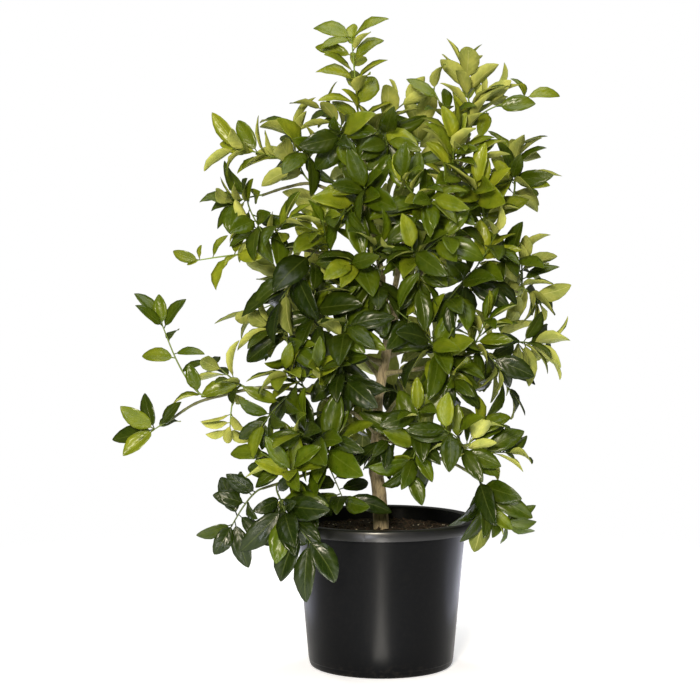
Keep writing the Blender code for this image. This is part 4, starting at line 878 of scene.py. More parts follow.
def tube(name: str, points: Sequence[Vector], radii: Sequence[float],
         sides: int) -> bpy.types.Object:
    """A closed tube along a path.

    Args:
        name: The new object's name.
        points: The tube's axis.
        radii: Its radius at each point.
        sides: How many faces go round, an even number from 4.

    Returns:
        The tube as a mesh with its caps welded, shaded smooth.
    """
    curve = bpy.data.curves.new(name, "CURVE")
    curve.dimensions = "3D"
    curve.bevel_depth = 1.0
    curve.bevel_resolution = sides // 2 - 2
    curve.use_fill_caps = True
    spline = curve.splines.new("POLY")
    spline.points.add(len(points) - 1)
    for knot, point, radius in zip(spline.points, points, radii):
        knot.co = (*point, 1.0)
        knot.radius = radius
    piece = bpy.data.objects.new(name, curve)
    bpy.context.scene.collection.objects.link(piece)
    select_only(piece)
    bpy.ops.object.convert(target="MESH")
    with editing(piece):
        bpy.ops.mesh.select_all(action="SELECT")
        bpy.ops.mesh.remove_doubles(threshold=0.005 * MM)
        bpy.ops.mesh.normals_make_consistent(inside=False)
    smooth(piece)
    return piece


def turned(name: str, profile: Sequence[tuple[float, float]], steps: int) -> bpy.types.Object:
    """A solid of revolution: one corner is drawn along a profile and spun about Z.

    Args:
        name: The new object's name.
        profile: Radius and height of each corner, from the axis back to the axis.
        steps: How many faces go round.

    Returns:
        The closed solid, facing out.
    """
    bpy.ops.object.select_all(action="DESELECT")
    bpy.ops.mesh.primitive_plane_add(size=MM)
    piece = bpy.context.object
    piece.name = name
    with editing(piece) as mesh:
        bpy.ops.mesh.select_all(action="SELECT")
        bpy.ops.mesh.merge(type="CENTER")
        bpy.ops.transform.translate(value=(profile[0][0], 0, profile[0][1]))
        for (radius, height), (next_radius, next_height) in zip(profile, profile[1:]):
            step = (next_radius - radius, 0, next_height - height)
            bpy.ops.mesh.extrude_region_move(TRANSFORM_OT_translate={"value": step})
        bpy.ops.mesh.select_all(action="SELECT")
        bpy.ops.mesh.spin(steps=steps, angle=2 * math.pi, center=(0, 0, 0), axis=(0, 0, 1))
        bpy.ops.mesh.select_all(action="SELECT")
        bpy.ops.mesh.remove_doubles(threshold=0.01 * MM)
        bpy.ops.mesh.normals_make_consistent(inside=False)
    return piece


def settle(piece: bpy.types.Object, slot: str, *nodes: str) -> bpy.types.Object:
    """Rides a finished piece on the object's one body, in place of its CAD nodes.

    Args:
        piece: The finished piece.
        slot: The record's material slot for the piece; not used.
        nodes: The CAD nodes that it stands for.

    Returns:
        The piece.
    """
    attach(piece, BODY)
    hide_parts(*nodes)
    low, high = (np.array(corner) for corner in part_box(nodes[0]))
    own = points_of(piece)
    out = max(max(low - own.min(axis=0)), max(own.max(axis=0) - high))
    log.info("%s: %d faces, %.1f mm proud of its solid", piece.name, len(piece.data.polygons), out / MM)
    return piece


# ---------------------------------------------------------------- finishes


def srgb(code: str) -> tuple[float, float, float, float]:
    """Turns an sRGB hex colour into linear light."""
    parts = [int(code[i:i + 2], 16) / 255 for i in (1, 3, 5)]
    linear = [part / 12.92 if part <= 0.04045 else ((part + 0.055) / 1.055) ** 2.4 for part in parts]
    return (*linear, 1.0)


def feed(tree: bpy.types.NodeTree, socket: bpy.types.NodeSocket, source: Any) -> None:
    """Gives an input its source: a value, a hex colour, an output, or a node's first result."""
    if isinstance(source, bpy.types.Node):
        source = next(output for output in source.outputs if output.enabled)
    if isinstance(source, bpy.types.NodeSocket):
        tree.links.new(source, socket)
    elif source is not None:
        socket.default_value = srgb(source) if isinstance(source, str) else source


def add_node(tree: bpy.types.NodeTree, kind: str, *sources: Any, **settings: Any) -> bpy.types.Node:
    """Adds a node to a node tree.

    Args:
        tree: The node tree.
        kind: The node's type, without its ShaderNode.
        sources: What feeds its inputs, in order, with None for one that keeps its default.
        settings: Its properties.

    Returns:
        The new node.
    """
    node = tree.nodes.new(f"ShaderNode{kind}")
    for name, value in settings.items():
        setattr(node, name, value)
    for socket, source in zip([socket for socket in node.inputs if socket.enabled], sources):
        feed(tree, socket, source)
    return node


class Finish:
    """A material in the making, with its Principled shader and the places its patterns read."""

    def __init__(self, name: str, **values: Any) -> None:
        """Starts the material.

        Args:
            name: The material's name.
            values: What feeds the shader's inputs, as in feed.
        """
        self.made = bpy.data.materials.new(name)
        self.made.use_nodes = True
        self.tree = self.made.node_tree
        self.add = partial(add_node, self.tree)
        coordinates = self.add("TexCoord")
        self.place, self.across_leaf = coordinates.outputs["Object"], coordinates.outputs["UV"]
        self.feed(**values)

    def feed(self, **sources: Any) -> bpy.types.Material:
        """Feeds the shader's inputs, by their names with _ for each space; returns the material."""
        for name, source in sources.items():
            feed(self.tree, self.tree.nodes["Principled BSDF"].inputs[name.replace("_", " ")], source)
        return self.made


NOISE_SPREAD = (0.3, 0.7)  # where nearly all of a noise texture's values lie
SCUFF_SOFTNESS = 0.65  # how strongly each finer octave of a broken-up noise shows


@dataclass(frozen=True)
class LeafSkin:
    """One face of a citrus leaf: a waxed cuticle over tissue that darkens with age.

    The midrib is a pale line, side veins leave it at a slant, and the blade swells between them.
    """

    name: str
    old: str
    grown: str
    young: str
    rib: str
    roughness: float
    gloss_variation: float
    rib_strength: float
    relief: float  # metres between the top of a swelling and a vein
    specular: float
    ages: tuple[tuple[float, float], ...] = ((0.05, 0.5), (0.5, 1.0))  # old to grown, grown to young
    vein_count: int = 9
    vein_slant: float = 3.2
    vein_crest: tuple[float, float] = (0.8, 1.0)
    vein_strength: float = 0.22  # share of the midrib's
    rib_half_width: float = 0.035  # share of the blade's width
    rib_core: float = 0.35  # share of the midrib that is fully pale
    mottle_size: float = 22 * MM
    mottle_shade: tuple[float, float] = (0.80, 1.18)
    mottle_hue: tuple[float, float] = (0.512, 0.490)
    gland_size: float = 1.1 * MM  # real oil glands are 0.2 mm apart; drawn coarse enough to show
    gland_height: float = 0.35
    swelling: float = 0.5

    def material(self) -> bpy.types.Material:
        """Builds the finish."""
        finish = Finish(self.name, Specular_IOR_Level=self.specular)
        add = finish.add
        blade = add("SeparateXYZ", finish.across_leaf)
        aside = add("Math", blade.outputs["X"], 0.5, operation="SUBTRACT")
        aside = add("Math", aside, operation="ABSOLUTE")
        rib = add("MapRange", aside, self.rib_half_width * self.rib_core, self.rib_half_width, 1.0, 0.0,
                  interpolation_type="SMOOTHSTEP")
        along = add("Math", blade.outputs["Y"], self.vein_count, operation="MULTIPLY")
        slant = add("Math", aside, -self.vein_slant, along, operation="MULTIPLY_ADD")
        turn = add("Math", slant, 2 * math.pi, operation="MULTIPLY")
        wave = add("Math", turn, operation="COSINE")
        vein = add("MapRange", wave, *self.vein_crest, interpolation_type="SMOOTHSTEP")

        colour = self.old
        for shade, ages in zip((self.grown, self.young), self.ages):
            age = add("MapRange", add("Attribute", attribute_name="tone").outputs["Fac"], *ages)
            colour = add("Mix", age, colour, shade, data_type="RGBA")
        mottle = add("TexNoise", finish.place, 1 / self.mottle_size, 3.0)
        gloss = (self.roughness - self.gloss_variation, self.roughness + self.gloss_variation)
        shade, hue, roughness = (add("MapRange", mottle, *NOISE_SPREAD, *ends)
                                 for ends in (self.mottle_shade, self.mottle_hue, gloss))
        colour = add("HueSaturation", hue, None, shade, None, colour)
        veins = add("Math", vein, self.vein_strength, operation="MULTIPLY")
        ribs = add("Math", veins, rib, operation="MAXIMUM")
        ribs = add("Math", ribs, self.rib_strength, operation="MULTIPLY")
        colour = add("Mix", ribs, colour, self.rib, data_type="RGBA")

        glands = add("TexNoise", finish.place, 1 / self.gland_size, 1.0)
        swelling = add("Math", wave, -self.swelling, operation="MULTIPLY")
        furrow = add("Math", rib, -1.0, swelling, operation="MULTIPLY_ADD")
        height = add("Math", glands, self.gland_height, furrow, operation="MULTIPLY_ADD")
        bump = add("Bump", 1.0, self.relief, None, height)
        return finish.feed(Base_Color=colour, Roughness=roughness, Normal=bump)


@dataclass(frozen=True)
class GreenBark:
    """The skin of young citrus wood: green and waxy, with fine lengthwise streaks."""

    name: str = "green_citrus_bark"
    old: str = "#4c5a2c"
    young: str = "#7d9433"
    roughness: float = 0.5
    streak_size: float = 2.2 * MM
    streak_shade: tuple[float, float] = (0.7, 1.2)
    relief: float = 0.25 * MM

    def material(self) -> bpy.types.Material:
        """Builds the finish."""
        finish = Finish(self.name, Roughness=self.roughness)
        add = finish.add
        tone = add("Attribute", attribute_name="tone").outputs["Fac"]
        colour = add("Mix", tone, self.old, self.young, data_type="RGBA")
        streaks = add("TexNoise", finish.place, 1 / self.streak_size, 2.0)
        shade = add("MapRange", streaks, *NOISE_SPREAD, *self.streak_shade)
        colour = add("HueSaturation", None, None, shade, None, colour)
        return finish.feed(Base_Color=colour, Normal=add("Bump", None, self.relief, None, streaks))


@dataclass(frozen=True)
class WoodBark:
    """Citrus bark on wood of a few years: tan-grey, with lengthwise cracks, corky lenticels and patches.

    "youth" on the mesh, from 0 to 1, turns it from the trunk's tan to a branch's grey-green.
    """

    name: str = "tan_citrus_bark"
    tan: str = "#a39579"
    shadow: str = "#4b4234"
    green: str = "#5f6840"
    lenticel: str = "#a79c84"
    roughness: float = 0.78
    specular: float = 0.35
    crack_width: float = 2.0 * MM
    crack_length: float = 16 * MM
    crack_softness: float = 0.6
    crack_depth: tuple[float, ...] = (0.36, 0.56, 0.75, 0.0)  # from full shadow to none
    lenticel_size: float = 5.0 * MM
    lenticel_edge: tuple[float, ...] = (0.10, 0.22, 1.0, 0.0)
    lenticel_strength: float = 0.55
    lenticel_height: float = 0.3
    patch_size: float = 28 * MM
    patch_shade: tuple[float, float] = (0.72, 1.2)
    relief: float = 0.7 * MM

    def material(self) -> bpy.types.Material:
        """Builds the finish."""
        finish = Finish(self.name, Roughness=self.roughness, Specular_IOR_Level=self.specular)
        add = finish.add
        upright = (1.0, 1.0, self.crack_width / self.crack_length)
        stretched = add("Mapping", finish.place, None, None, upright)
        cracks = add("TexNoise", stretched, 1 / self.crack_width, 4.0, self.crack_softness)
        patches = add("TexNoise", finish.place, 1 / self.patch_size, 4.0)
        cells = add("TexVoronoi", finish.place, 1 / self.lenticel_size, feature="F1")
        spots = add("MapRange", cells, *self.lenticel_edge, interpolation_type="SMOOTHSTEP")
        youth = add("Attribute", attribute_name="youth").outputs["Fac"]
        colour = add("Mix", youth, self.tan, self.green, data_type="RGBA")
        dark = add("MapRange", cracks, *self.crack_depth)
        colour = add("Mix", dark, colour, self.shadow, data_type="RGBA")
        shade = add("MapRange", patches, *NOISE_SPREAD, *self.patch_shade)
        colour = add("HueSaturation", None, None, shade, None, colour)
        corky = add("Math", spots, self.lenticel_strength, operation="MULTIPLY")
        colour = add("Mix", corky, colour, self.lenticel, data_type="RGBA")
        height = add("Math", spots, self.lenticel_height, cracks, operation="MULTIPLY_ADD")
        return finish.feed(Base_Color=colour, Normal=add("Bump", None, self.relief, None, height))


@dataclass(frozen=True)
class MouldedPolypropylene:
    """Injection-moulded black polypropylene: satin, with faint flow marks, scuffs and dust."""

    name: str = "moulded_black_polypropylene"
    black: str = "#08090b"
    dust: str = "#2e2b27"
    roughness: float = 0.32
    specular: float = 0.07
    gloss_variation: tuple[float, float] = (-0.05, 0.06)
    flow_size: float = 34 * MM
    flow_stretch: float = 0.25
    scuff_size: float = 7 * MM
    scuffed: tuple[float, float] = (0.48, 0.72)
    grain_size: float = 0.9 * MM
    grain_relief: float = 0.04 * MM
    dust_reach: float = 0.03  # splashed soil fades out this high up the wall
    dust_strength: tuple[float, float] = (0.5, 0.06)  # at the foot and above

    def material(self) -> bpy.types.Material:
        """Builds the finish."""
        finish = Finish(self.name, Specular_IOR_Level=self.specular)
        add = finish.add
        upright = add("Mapping", finish.place, None, None, (1.0, 1.0, self.flow_stretch))
        flow = add("TexNoise", upright, 1 / self.flow_size, 3.0)
        scuffs = add("TexNoise", finish.place, 1 / self.scuff_size, 5.0, SCUFF_SOFTNESS)
        grain = add("TexNoise", finish.place, 1 / self.grain_size, 2.0)
        height = add("SeparateXYZ", finish.place).outputs["Z"]
        low = add("MapRange", height, 0.0, self.dust_reach, *self.dust_strength,
                  interpolation_type="SMOOTHSTEP")
        patchy = add("MapRange", scuffs, *self.scuffed)
        dusty = add("Math", low, patchy, operation="MULTIPLY")
        colour = add("Mix", dusty, self.black, self.dust, data_type="RGBA")
        ends = [self.roughness + variation for variation in self.gloss_variation]
        gloss = add("MapRange", flow, *NOISE_SPREAD, *ends)
        bump = add("Bump", None, self.grain_relief, None, grain)
        return finish.feed(Base_Color=colour, Roughness=gloss, Normal=bump)


@dataclass(frozen=True)
class Speckled:
    """A matt, broken-up surface of two colours: potting mix, bark chips or perlite."""

    name: str
    light: str
    dark: str
    grain_size: float
    relief: float
    roughness: float = 0.92
    specular: float = 0.2
    blend: tuple[float, float] = (0.38, 0.62)

    def material(self) -> bpy.types.Material:
        """Builds the finish."""
        finish = Finish(self.name, Roughness=self.roughness, Specular_IOR_Level=self.specular)
        add = finish.add
        grain = add("TexNoise", finish.place, 1 / self.grain_size, 5.0, SCUFF_SOFTNESS)
        colour = add("Mix", add("MapRange", grain, *self.blend), self.dark, self.light, data_type="RGBA")
        return finish.feed(Base_Color=colour, Normal=add("Bump", None, self.relief, None, grain))


# Citrus leaf, upper side: a dark cuticle, waxed to a soft gloss, with the midrib sunk in it
UPPER_LEAF = LeafSkin(
    name="waxed_citrus_leaf_upper", old="#1c2904", grown="#475807", young="#7f891f", rib="#76843a",
    roughness=0.30, gloss_variation=0.06, rib_strength=0.17, relief=0.2 * MM, specular=0.3,
)
# Citrus leaf, underside: paler, matt and felt-like, with the midrib standing out
LOWER_LEAF = LeafSkin(
    name="matt_citrus_leaf_underside", old="#6c7532", grown="#9ea54f", young="#b3b85c", rib="#bfc178",
    roughness=0.62, gloss_variation=0.05, rib_strength=0.5, relief=-0.22 * MM, specular=0.25,
)
# Composted peat and bark fines: dark, damp and crumbly
POTTING_MIX = Speckled("composted_potting_mix", "#2b241c", "#0f0d0a", 3.2 * MM, 1.2 * MM)
# Shredded pine bark: red-brown chips with split faces
BARK_CHIP = Speckled("pine_bark_chips", "#40342a", "#17120d", 2.4 * MM, 0.5 * MM, 0.85)
# Expanded perlite: off-white, popped grains
PERLITE = Speckled("expanded_perlite", "#b3ac9d", "#877f70", 1.5 * MM, 0.3 * MM, 0.9)
# The pot's wall, and its rim band, which is shinier and whose black is painted greyer than the wall's, a
# painted sheen for the light the band catches
POT_WALL = MouldedPolypropylene()
POT_RIM = MouldedPolypropylene("black_polypropylene_painted_sheen", "#121315", roughness=0.33, specular=0.5)


# ---------------------------------------------------------------- the pot and its soil


@dataclass
class NurseryPot:
    """The moulded shell: recessed floor, tapering wall, overhanging rim, foot band and drain holes."""

    height: float = POT_HEIGHT
    rim_radius: float = RIM_RADIUS
    rim_band: float = 18.5 * MM
    rim_flange: float = 21.5 * MM
    wall_top_radius: float = 158.5 * MM
    wall_foot_radius: float = 134.5 * MM
    wall: float = WALL
    sheet: float = SHEET
    foot_radius: float = 129 * MM
    foot_width: float = 14 * MM
    pad_radius: float = 60 * MM
    recess: float = 4 * MM
    foot_band: float = 12 * MM  # height of the band where the wall steps in over the foot
    foot_step: float = 0.8 * MM
    drain_holes: int = 8
    drain_diameter: float = 14 * MM
    drain_circle: float = 88 * MM
    seam: tuple[float, float] = (1.2 * MM, 0.5 * MM)  # the mould's parting line: width and height
    seam_angle: float = math.radians(-99.5)
    seam_margin: float = 4 * MM  # how much shorter than the rim's band it is
    floor_corner: float = 4.5 * MM
    wall_turn: float = 4 * MM  # the wall turns out into the rim this far below the flange
    flange_ease: tuple[float, float] = (5 * MM, 1 * MM)  # slope of its inner edge: width and height
    rim_ease: tuple[float, float] = (4 * MM, 4.5 * MM)  # where the rim's outer corner starts and ends
    rim_corner: tuple[float, float] = (0.8 * MM, 1.2 * MM)  # and the point half way round it
    rim_inside: tuple[float, float] = (1.2 * MM, 3.5 * MM)
    band_ease: float = 1 * MM
    foot_ease: tuple[float, float] = (2.4 * MM, 1.7 * MM)
    foot_top: float = 6 * MM
    edge_bevel: float = 0.5 * MM
    bevel_from: float = math.radians(32)
    smooth_under: float = math.radians(38)
    steps: int = 128

    def wall_radius(self, height: float, inner: bool = False) -> float:
        """The radius of the wall at a height, outside or inside."""
        share = height / (self.height - self.sheet)
        radius = self.wall_foot_radius + (self.wall_top_radius - self.wall_foot_radius) * share
        return radius - (self.wall if inner else 0.0)

    def floor_profile(self, lift: float) -> list[tuple[float, float]]:
        """The floor from the middle outwards, raised between the pad and the foot."""
        return [
            (0.0, lift), (self.pad_radius, lift), (self.pad_radius + self.recess, self.recess + lift),
            (self.foot_radius - self.foot_width - self.recess, self.recess + lift),
            (self.foot_radius - self.foot_width, lift),
        ]

    def profile(self) -> list[tuple[float, float]]:
        """The shell's section: up the inside, over the rim, down the outside and in underneath."""
        top, rim = self.height, self.rim_radius
        wall_top = top - self.sheet
        inside = self.floor_profile(self.sheet) + [
            (self.foot_radius - 1 * MM, self.sheet),
            (self.wall_radius(self.floor_corner, True), self.floor_corner),
            (self.wall_radius(wall_top - self.wall_turn, True), wall_top - self.wall_turn),
        ]
        flange, lip = rim - self.rim_flange, rim - self.sheet
        over = [
            (flange, top - self.flange_ease[1]), (flange + self.flange_ease[0], top),
            (rim - self.rim_ease[0], top), (rim - self.rim_corner[0], top - self.rim_corner[1]),
            (rim, top - self.rim_ease[1]), (rim, top - self.rim_band), (lip, top - self.rim_band),
            (lip, wall_top - self.rim_inside[1]), (lip - self.rim_inside[0], wall_top),
            (self.wall_top_radius + self.wall_turn, wall_top),
        ]
        band = self.foot_band
        outside = [
            (self.wall_radius(wall_top - self.wall_turn), wall_top - self.wall_turn),
            (self.wall_radius(band + self.band_ease), band + self.band_ease),
            (self.wall_radius(band) - self.foot_step, band),
            (self.wall_radius(self.foot_top) - self.foot_step, self.foot_top),
            (self.wall_radius(0) - self.foot_ease[0], self.foot_ease[1]), (self.foot_radius, 0.0),
        ]
        return inside + over + outside + self.floor_profile(0.0)[::-1]

    def parting_lines(self) -> bpy.types.Object:
        """The two fine ribs that the halves of the mould left on the rim's band."""
        width, proud = self.seam
        ribs = []
        for turn in (self.seam_angle, self.seam_angle + math.pi):
            place = Vector((math.cos(turn), math.sin(turn), 0)) * self.rim_radius
            place.z = self.height - self.rim_band / 2 - 1 * MM
            bpy.ops.mesh.primitive_cube_add(size=1, location=place, rotation=(0, 0, turn),
                                            scale=(2 * proud, width, self.rim_band - self.seam_margin))
            rib = bpy.context.object
            bpy.ops.object.transform_apply(location=True, rotation=True, scale=True)
            apply_modifier(rib, "BEVEL", width=proud * 0.6, segments=2)
            ribs.append(rib)
        return joined("parting_lines", ribs)

    def drains(self) -> bpy.types.Object:
        """The cutter for the drain holes."""
        cutters = []
        for k in range(self.drain_holes):
            turn = 2 * math.pi * (k + 0.5) / self.drain_holes
            place = Vector((math.cos(turn), math.sin(turn), 0)) * self.drain_circle
            place.z = self.recess
            bpy.ops.mesh.primitive_cylinder_add(vertices=32, radius=self.drain_diameter / 2,
                                                depth=4 * self.sheet, location=place)
            cutters.append(bpy.context.object)
        return joined("drains", cutters)

    def build(self) -> bpy.types.Object:
        """Turns, bevels, joins and cuts the shell, and dresses it."""
        pot = turned("nursery_pot", self.profile(), self.steps)
        apply_modifier(pot, "BEVEL", width=self.edge_bevel, segments=2, limit_method="ANGLE",
                       angle_limit=self.bevel_from)
        ribs, cutter = self.parting_lines(), self.drains()
        apply_modifier(pot, "BOOLEAN", object=ribs, operation="UNION", solver="EXACT")
        apply_modifier(pot, "BOOLEAN", object=cutter, operation="DIFFERENCE", solver="EXACT")
        for spent in (ribs, cutter):
            bpy.data.objects.remove(spent, do_unlink=True)
        smooth(pot, self.smooth_under)
        dress(pot, POT_WALL.material(), POT_RIM.material())
        # The rim band's outer faces take the rim finish, with its painted sheen
        for face in pot.data.polygons:
            outside = face.center.xy.length > self.wall_top_radius + 2 * MM
            face.material_index = int(outside and face.center.z > self.height - self.rim_band - 1 * MM)
        return settle(pot, "pot_plastic", "pot")


@dataclass
class SoilBed:
    """The potting mix: a crumbly bed, strewn with bark chips and perlite, closed round the trunk."""

    pot: NurseryPot
    level: float = SOIL_LEVEL
    mound: float = 5 * MM
    collar_radius: float = TRUNK_FOOT_RADIUS - 0.8 * MM
    socket_depth: float = 60 * MM
    clearance: float = 0.3 * MM
    ring_spacing: float = 2.6 * MM
    steps: int = 128
    mound_power: float = 1.5
    lumps: tuple[tuple[float, float], ...] = (  # their size and their depth
        (24 * MM, 2.4 * MM), (9 * MM, 1.7 * MM), (4 * MM, 0.9 * MM))
    chips: int = 420
    chip_size: tuple[float, float, float] = (8 * MM, 4.6 * MM, 1.9 * MM)
    chip_raggedness: float = 0.9 * MM
    chip_lift: float = 0.3 * MM  # how far above the surface their middles lie
    grains: int = 90
    grain_radius: float = 1.5 * MM
    grain_raggedness: float = 0.4 * MM
    grain_sink: float = 0.2 * MM
    litter_margin: float = 5 * MM  # kept clear at the trunk and at the wall
    litter_scale: tuple[float, float] = (0.45, 1.25)
    litter_lean: float = 0.35  # radians, one standard deviation
    corner: float = 5.5 * MM

    @property
    def edge(self) -> float:
        """The radius where the bed meets the pot's wall."""
        return self.pot.wall_radius(self.level, True) - 2 * self.clearance

    def surface(self, x: float, y: float) -> float:
        """The height of the bed at a place, lumps included."""
        radius = math.hypot(x, y)
        crown = self.level + self.mound * (1 - min(1.0, radius / self.edge)) ** self.mound_power
        return crown + sum(depth * noise.noise(Vector((x, y, 0)) / size) for size, depth in self.lumps)

    def profile(self) -> list[tuple[float, float]]:
        """The bed's section, with a ring every few millimetres across the top."""
        lift = self.pot.sheet + self.clearance
        rings = math.ceil((self.edge - self.collar_radius) / self.ring_spacing)
        top = [(self.collar_radius + (self.edge - self.collar_radius) * k / rings, self.level)
               for k in range(rings + 1)]
        return [
            (0.0, self.level - self.socket_depth), (self.collar_radius, self.level - self.socket_depth),
            *top, (self.pot.wall_radius(self.corner, True) - 2 * self.clearance, self.corner),
            (self.pot.foot_radius - 2 * MM, lift), *self.pot.floor_profile(lift)[::-1],
        ]

    def scattered(self, pattern: bpy.types.Object, count: int, sink: float,
                  draw: random.Random) -> list[bpy.types.Object]:
        """Copies of a pattern strewn over the bed.

        Args:
            pattern: The grain or chip, which is removed.
            count: How many copies.
            sink: How far below the surface their middles lie.
            draw: Where their places are drawn from.

        Returns:
            The copies.
        """
        shape = points_of(pattern)
        inner, outer = self.collar_radius + self.litter_margin, self.edge - self.litter_margin
        strewn = []
        for _ in range(count):
            radius = math.sqrt(draw.uniform(inner ** 2, outer ** 2))
            turn = draw.uniform(0, 2 * math.pi)
            x, y = radius * math.cos(turn), radius * math.sin(turn)
            spin = Quaternion((0, 0, 1), draw.uniform(0, 2 * math.pi))
            pitch = Quaternion((1, 0, 0), draw.gauss(0, self.litter_lean))
            lean = pitch @ Quaternion((0, 1, 0), draw.gauss(0, self.litter_lean))
            scale = draw.uniform(*self.litter_scale)
            turned_shape = shape * scale @ np.array((lean @ spin).to_matrix()).T
            piece = copy_of(pattern)
            move_points(piece, turned_shape + np.array((x, y, self.surface(x, y) - sink)))
            strewn.append(piece)
        bpy.data.objects.remove(pattern, do_unlink=True)
        return strewn

    def chip(self) -> bpy.types.Object:
        """One bark chip, split and ragged."""
        bpy.ops.mesh.primitive_cube_add(size=1, scale=self.chip_size)
        piece = bpy.context.object
        bpy.ops.object.transform_apply(location=False, rotation=False, scale=True)
        with editing(piece):
            bpy.ops.mesh.select_all(action="SELECT")
            bpy.ops.mesh.subdivide(number_cuts=1)
            bpy.ops.transform.vertex_random(offset=self.chip_raggedness, uniform=1.0, seed=3)
        dress(piece, BARK_CHIP.material())
        return piece

    def grain(self) -> bpy.types.Object:
        """One grain of perlite."""
        bpy.ops.mesh.primitive_ico_sphere_add(subdivisions=1, radius=self.grain_radius)
        piece = bpy.context.object
        with editing(piece):
            bpy.ops.mesh.select_all(action="SELECT")
            bpy.ops.transform.vertex_random(offset=self.grain_raggedness, uniform=1.0, seed=5)
        dress(piece, PERLITE.material())
        return piece

    def build(self) -> bpy.types.Object:
        """Turns the bed, roughens its top, strews it and dresses it."""
        bed = turned("potting_mix_bed", self.profile(), self.steps)
        places = points_of(bed).copy()
        for place in places:
            if place[2] > self.level - 1 * MM:
                place[2] = self.surface(place[0], place[1])
        move_points(bed, places)
        smooth(bed)
        dress(bed, POTTING_MIX.material())
        draw = random.Random("litter")
        chips = self.scattered(self.chip(), self.chips, -self.chip_lift, draw)
        grains = self.scattered(self.grain(), self.grains, self.grain_sink, draw)
        return settle(joined("potting_mix_bed", [bed, *chips, *grains]), "potting_mix", "potting_soil")


# ---------------------------------------------------------------- the wood


@dataclass
class GrownTrunk:
    """The trunk and its three leaders, one piece of wood with rounded forks and knots."""

    finish: bpy.types.Material
    per_span: int = 8
    sides: int = 16
    voxel: float = 1.3 * MM
    greening: float = 2.2  # how fast the leaders' bark turns green, a metre
    greenest: float = 0.75
    knots: int = 26
    knot_reach: float = 5 * MM
    knot_height: float = 1.5 * MM
    ripples: tuple[tuple[float, float], ...] = ((34 * MM, 0.8 * MM), (9 * MM, 0.35 * MM))

    def relief(self, piece: bpy.types.Object) -> None:
        """Moves the surface out and in by ripples and knots."""
        normals = np.empty(len(piece.data.vertices) * 3, np.float32)
        piece.data.vertices.foreach_get("normal", normals)
        places = points_of(piece)
        out = np.array([sum(depth * noise.noise(Vector(place) / size) for size, depth in self.ripples)
                        for place in places])
        draw = random.Random("knots")
        for _ in range(self.knots):
            knot = places[draw.randrange(len(places))]
            gap = np.linalg.norm(places - knot, axis=1)
            out += self.knot_height * draw.uniform(0.4, 1.0) * np.exp(-(gap / self.knot_reach) ** 2)
        move_points(piece, places + normals.reshape(-1, 3) * out[:, None])

    def build(self) -> bpy.types.Object:
        """Joins the stems into one skin, models its relief and dresses it."""
        stems = [Stem(smooth_path(TRUNK_ROUTE, self.per_span), trunk_radius)]
        stems += [Stem(smooth_path(route, self.per_span), LEADER_RADII) for route in LEADERS.values()]
        piece = joined("tree_trunk", [tube("stem", stem.points, stem.radii, self.sides) for stem in stems])
        apply_modifier(piece, "REMESH", mode="VOXEL", voxel_size=self.voxel)
        apply_modifier(piece, "SMOOTH", factor=0.5, iterations=3)
        self.relief(piece)
        fork = TRUNK_ROUTE[-1][2]
        mark(piece, "youth", np.clip((points_of(piece)[:, 2] - fork) * self.greening, 0.0, self.greenest))
        smooth(piece)
        dress(piece, self.finish)
        return settle(piece, "trunk_bark", "trunk")


@dataclass
class GrownBranch:
    """One branch: a flared collar where it leaves the trunk, then swollen nodes to its tip."""

    name: str
    finish: bpy.types.Material
    per_span: int = 12
    sides: int = 12
    collar: float = 0.8  # how much wider the foot is
    collar_reach: float = 7 * MM
    node_spacing: float = 24 * MM
    node_swell: float = 0.16
    node_reach: float = 2.6 * MM
    foot_youth: float = 0.45

    def build(self, tree: Tree) -> bpy.types.Object:
        """Sweeps the branch and dresses it."""
        stem = Stem(smooth_path(BRANCHES[self.name], self.per_span), BRANCH_RADII)
        parent = tree.wood[LEADER_OF.get(self.name, "trunk_stem")]
        buried = min(zip(((stem.points[0] - point).length for point in parent.points), parent.radii))[1]
        radii = []
        for run, radius in zip(stem.lengths, stem.radii):
            flare = self.collar * math.exp(-max(0.0, run - buried) / self.collar_reach)
            past = run - self.node_spacing * round(run / self.node_spacing)
            swell = self.node_swell * math.exp(-(past / self.node_reach) ** 2)
            radii.append(radius * (1 + flare + swell))
        piece = tube(f"branch_wood_{self.name}", stem.points, radii, self.sides)
        mark(piece, "youth", self.youth(piece, stem))
        dress(piece, self.finish)
        return settle(piece, "branch_bark", f"branch_{self.name}")

    def youth(self, piece: bpy.types.Object, stem: Stem) -> np.ndarray:
        """How young the bark is at each vertex, from its place along the branch."""
        axis = np.array([point[:] for point in stem.points])
        runs = np.array(stem.lengths) / stem.length
        nearest = [runs[np.argmin(np.linalg.norm(axis - place, axis=1))] for place in points_of(piece)]
        return self.foot_youth + (1 - self.foot_youth) * np.array(nearest)


# ---------------------------------------------------------------- the foliage


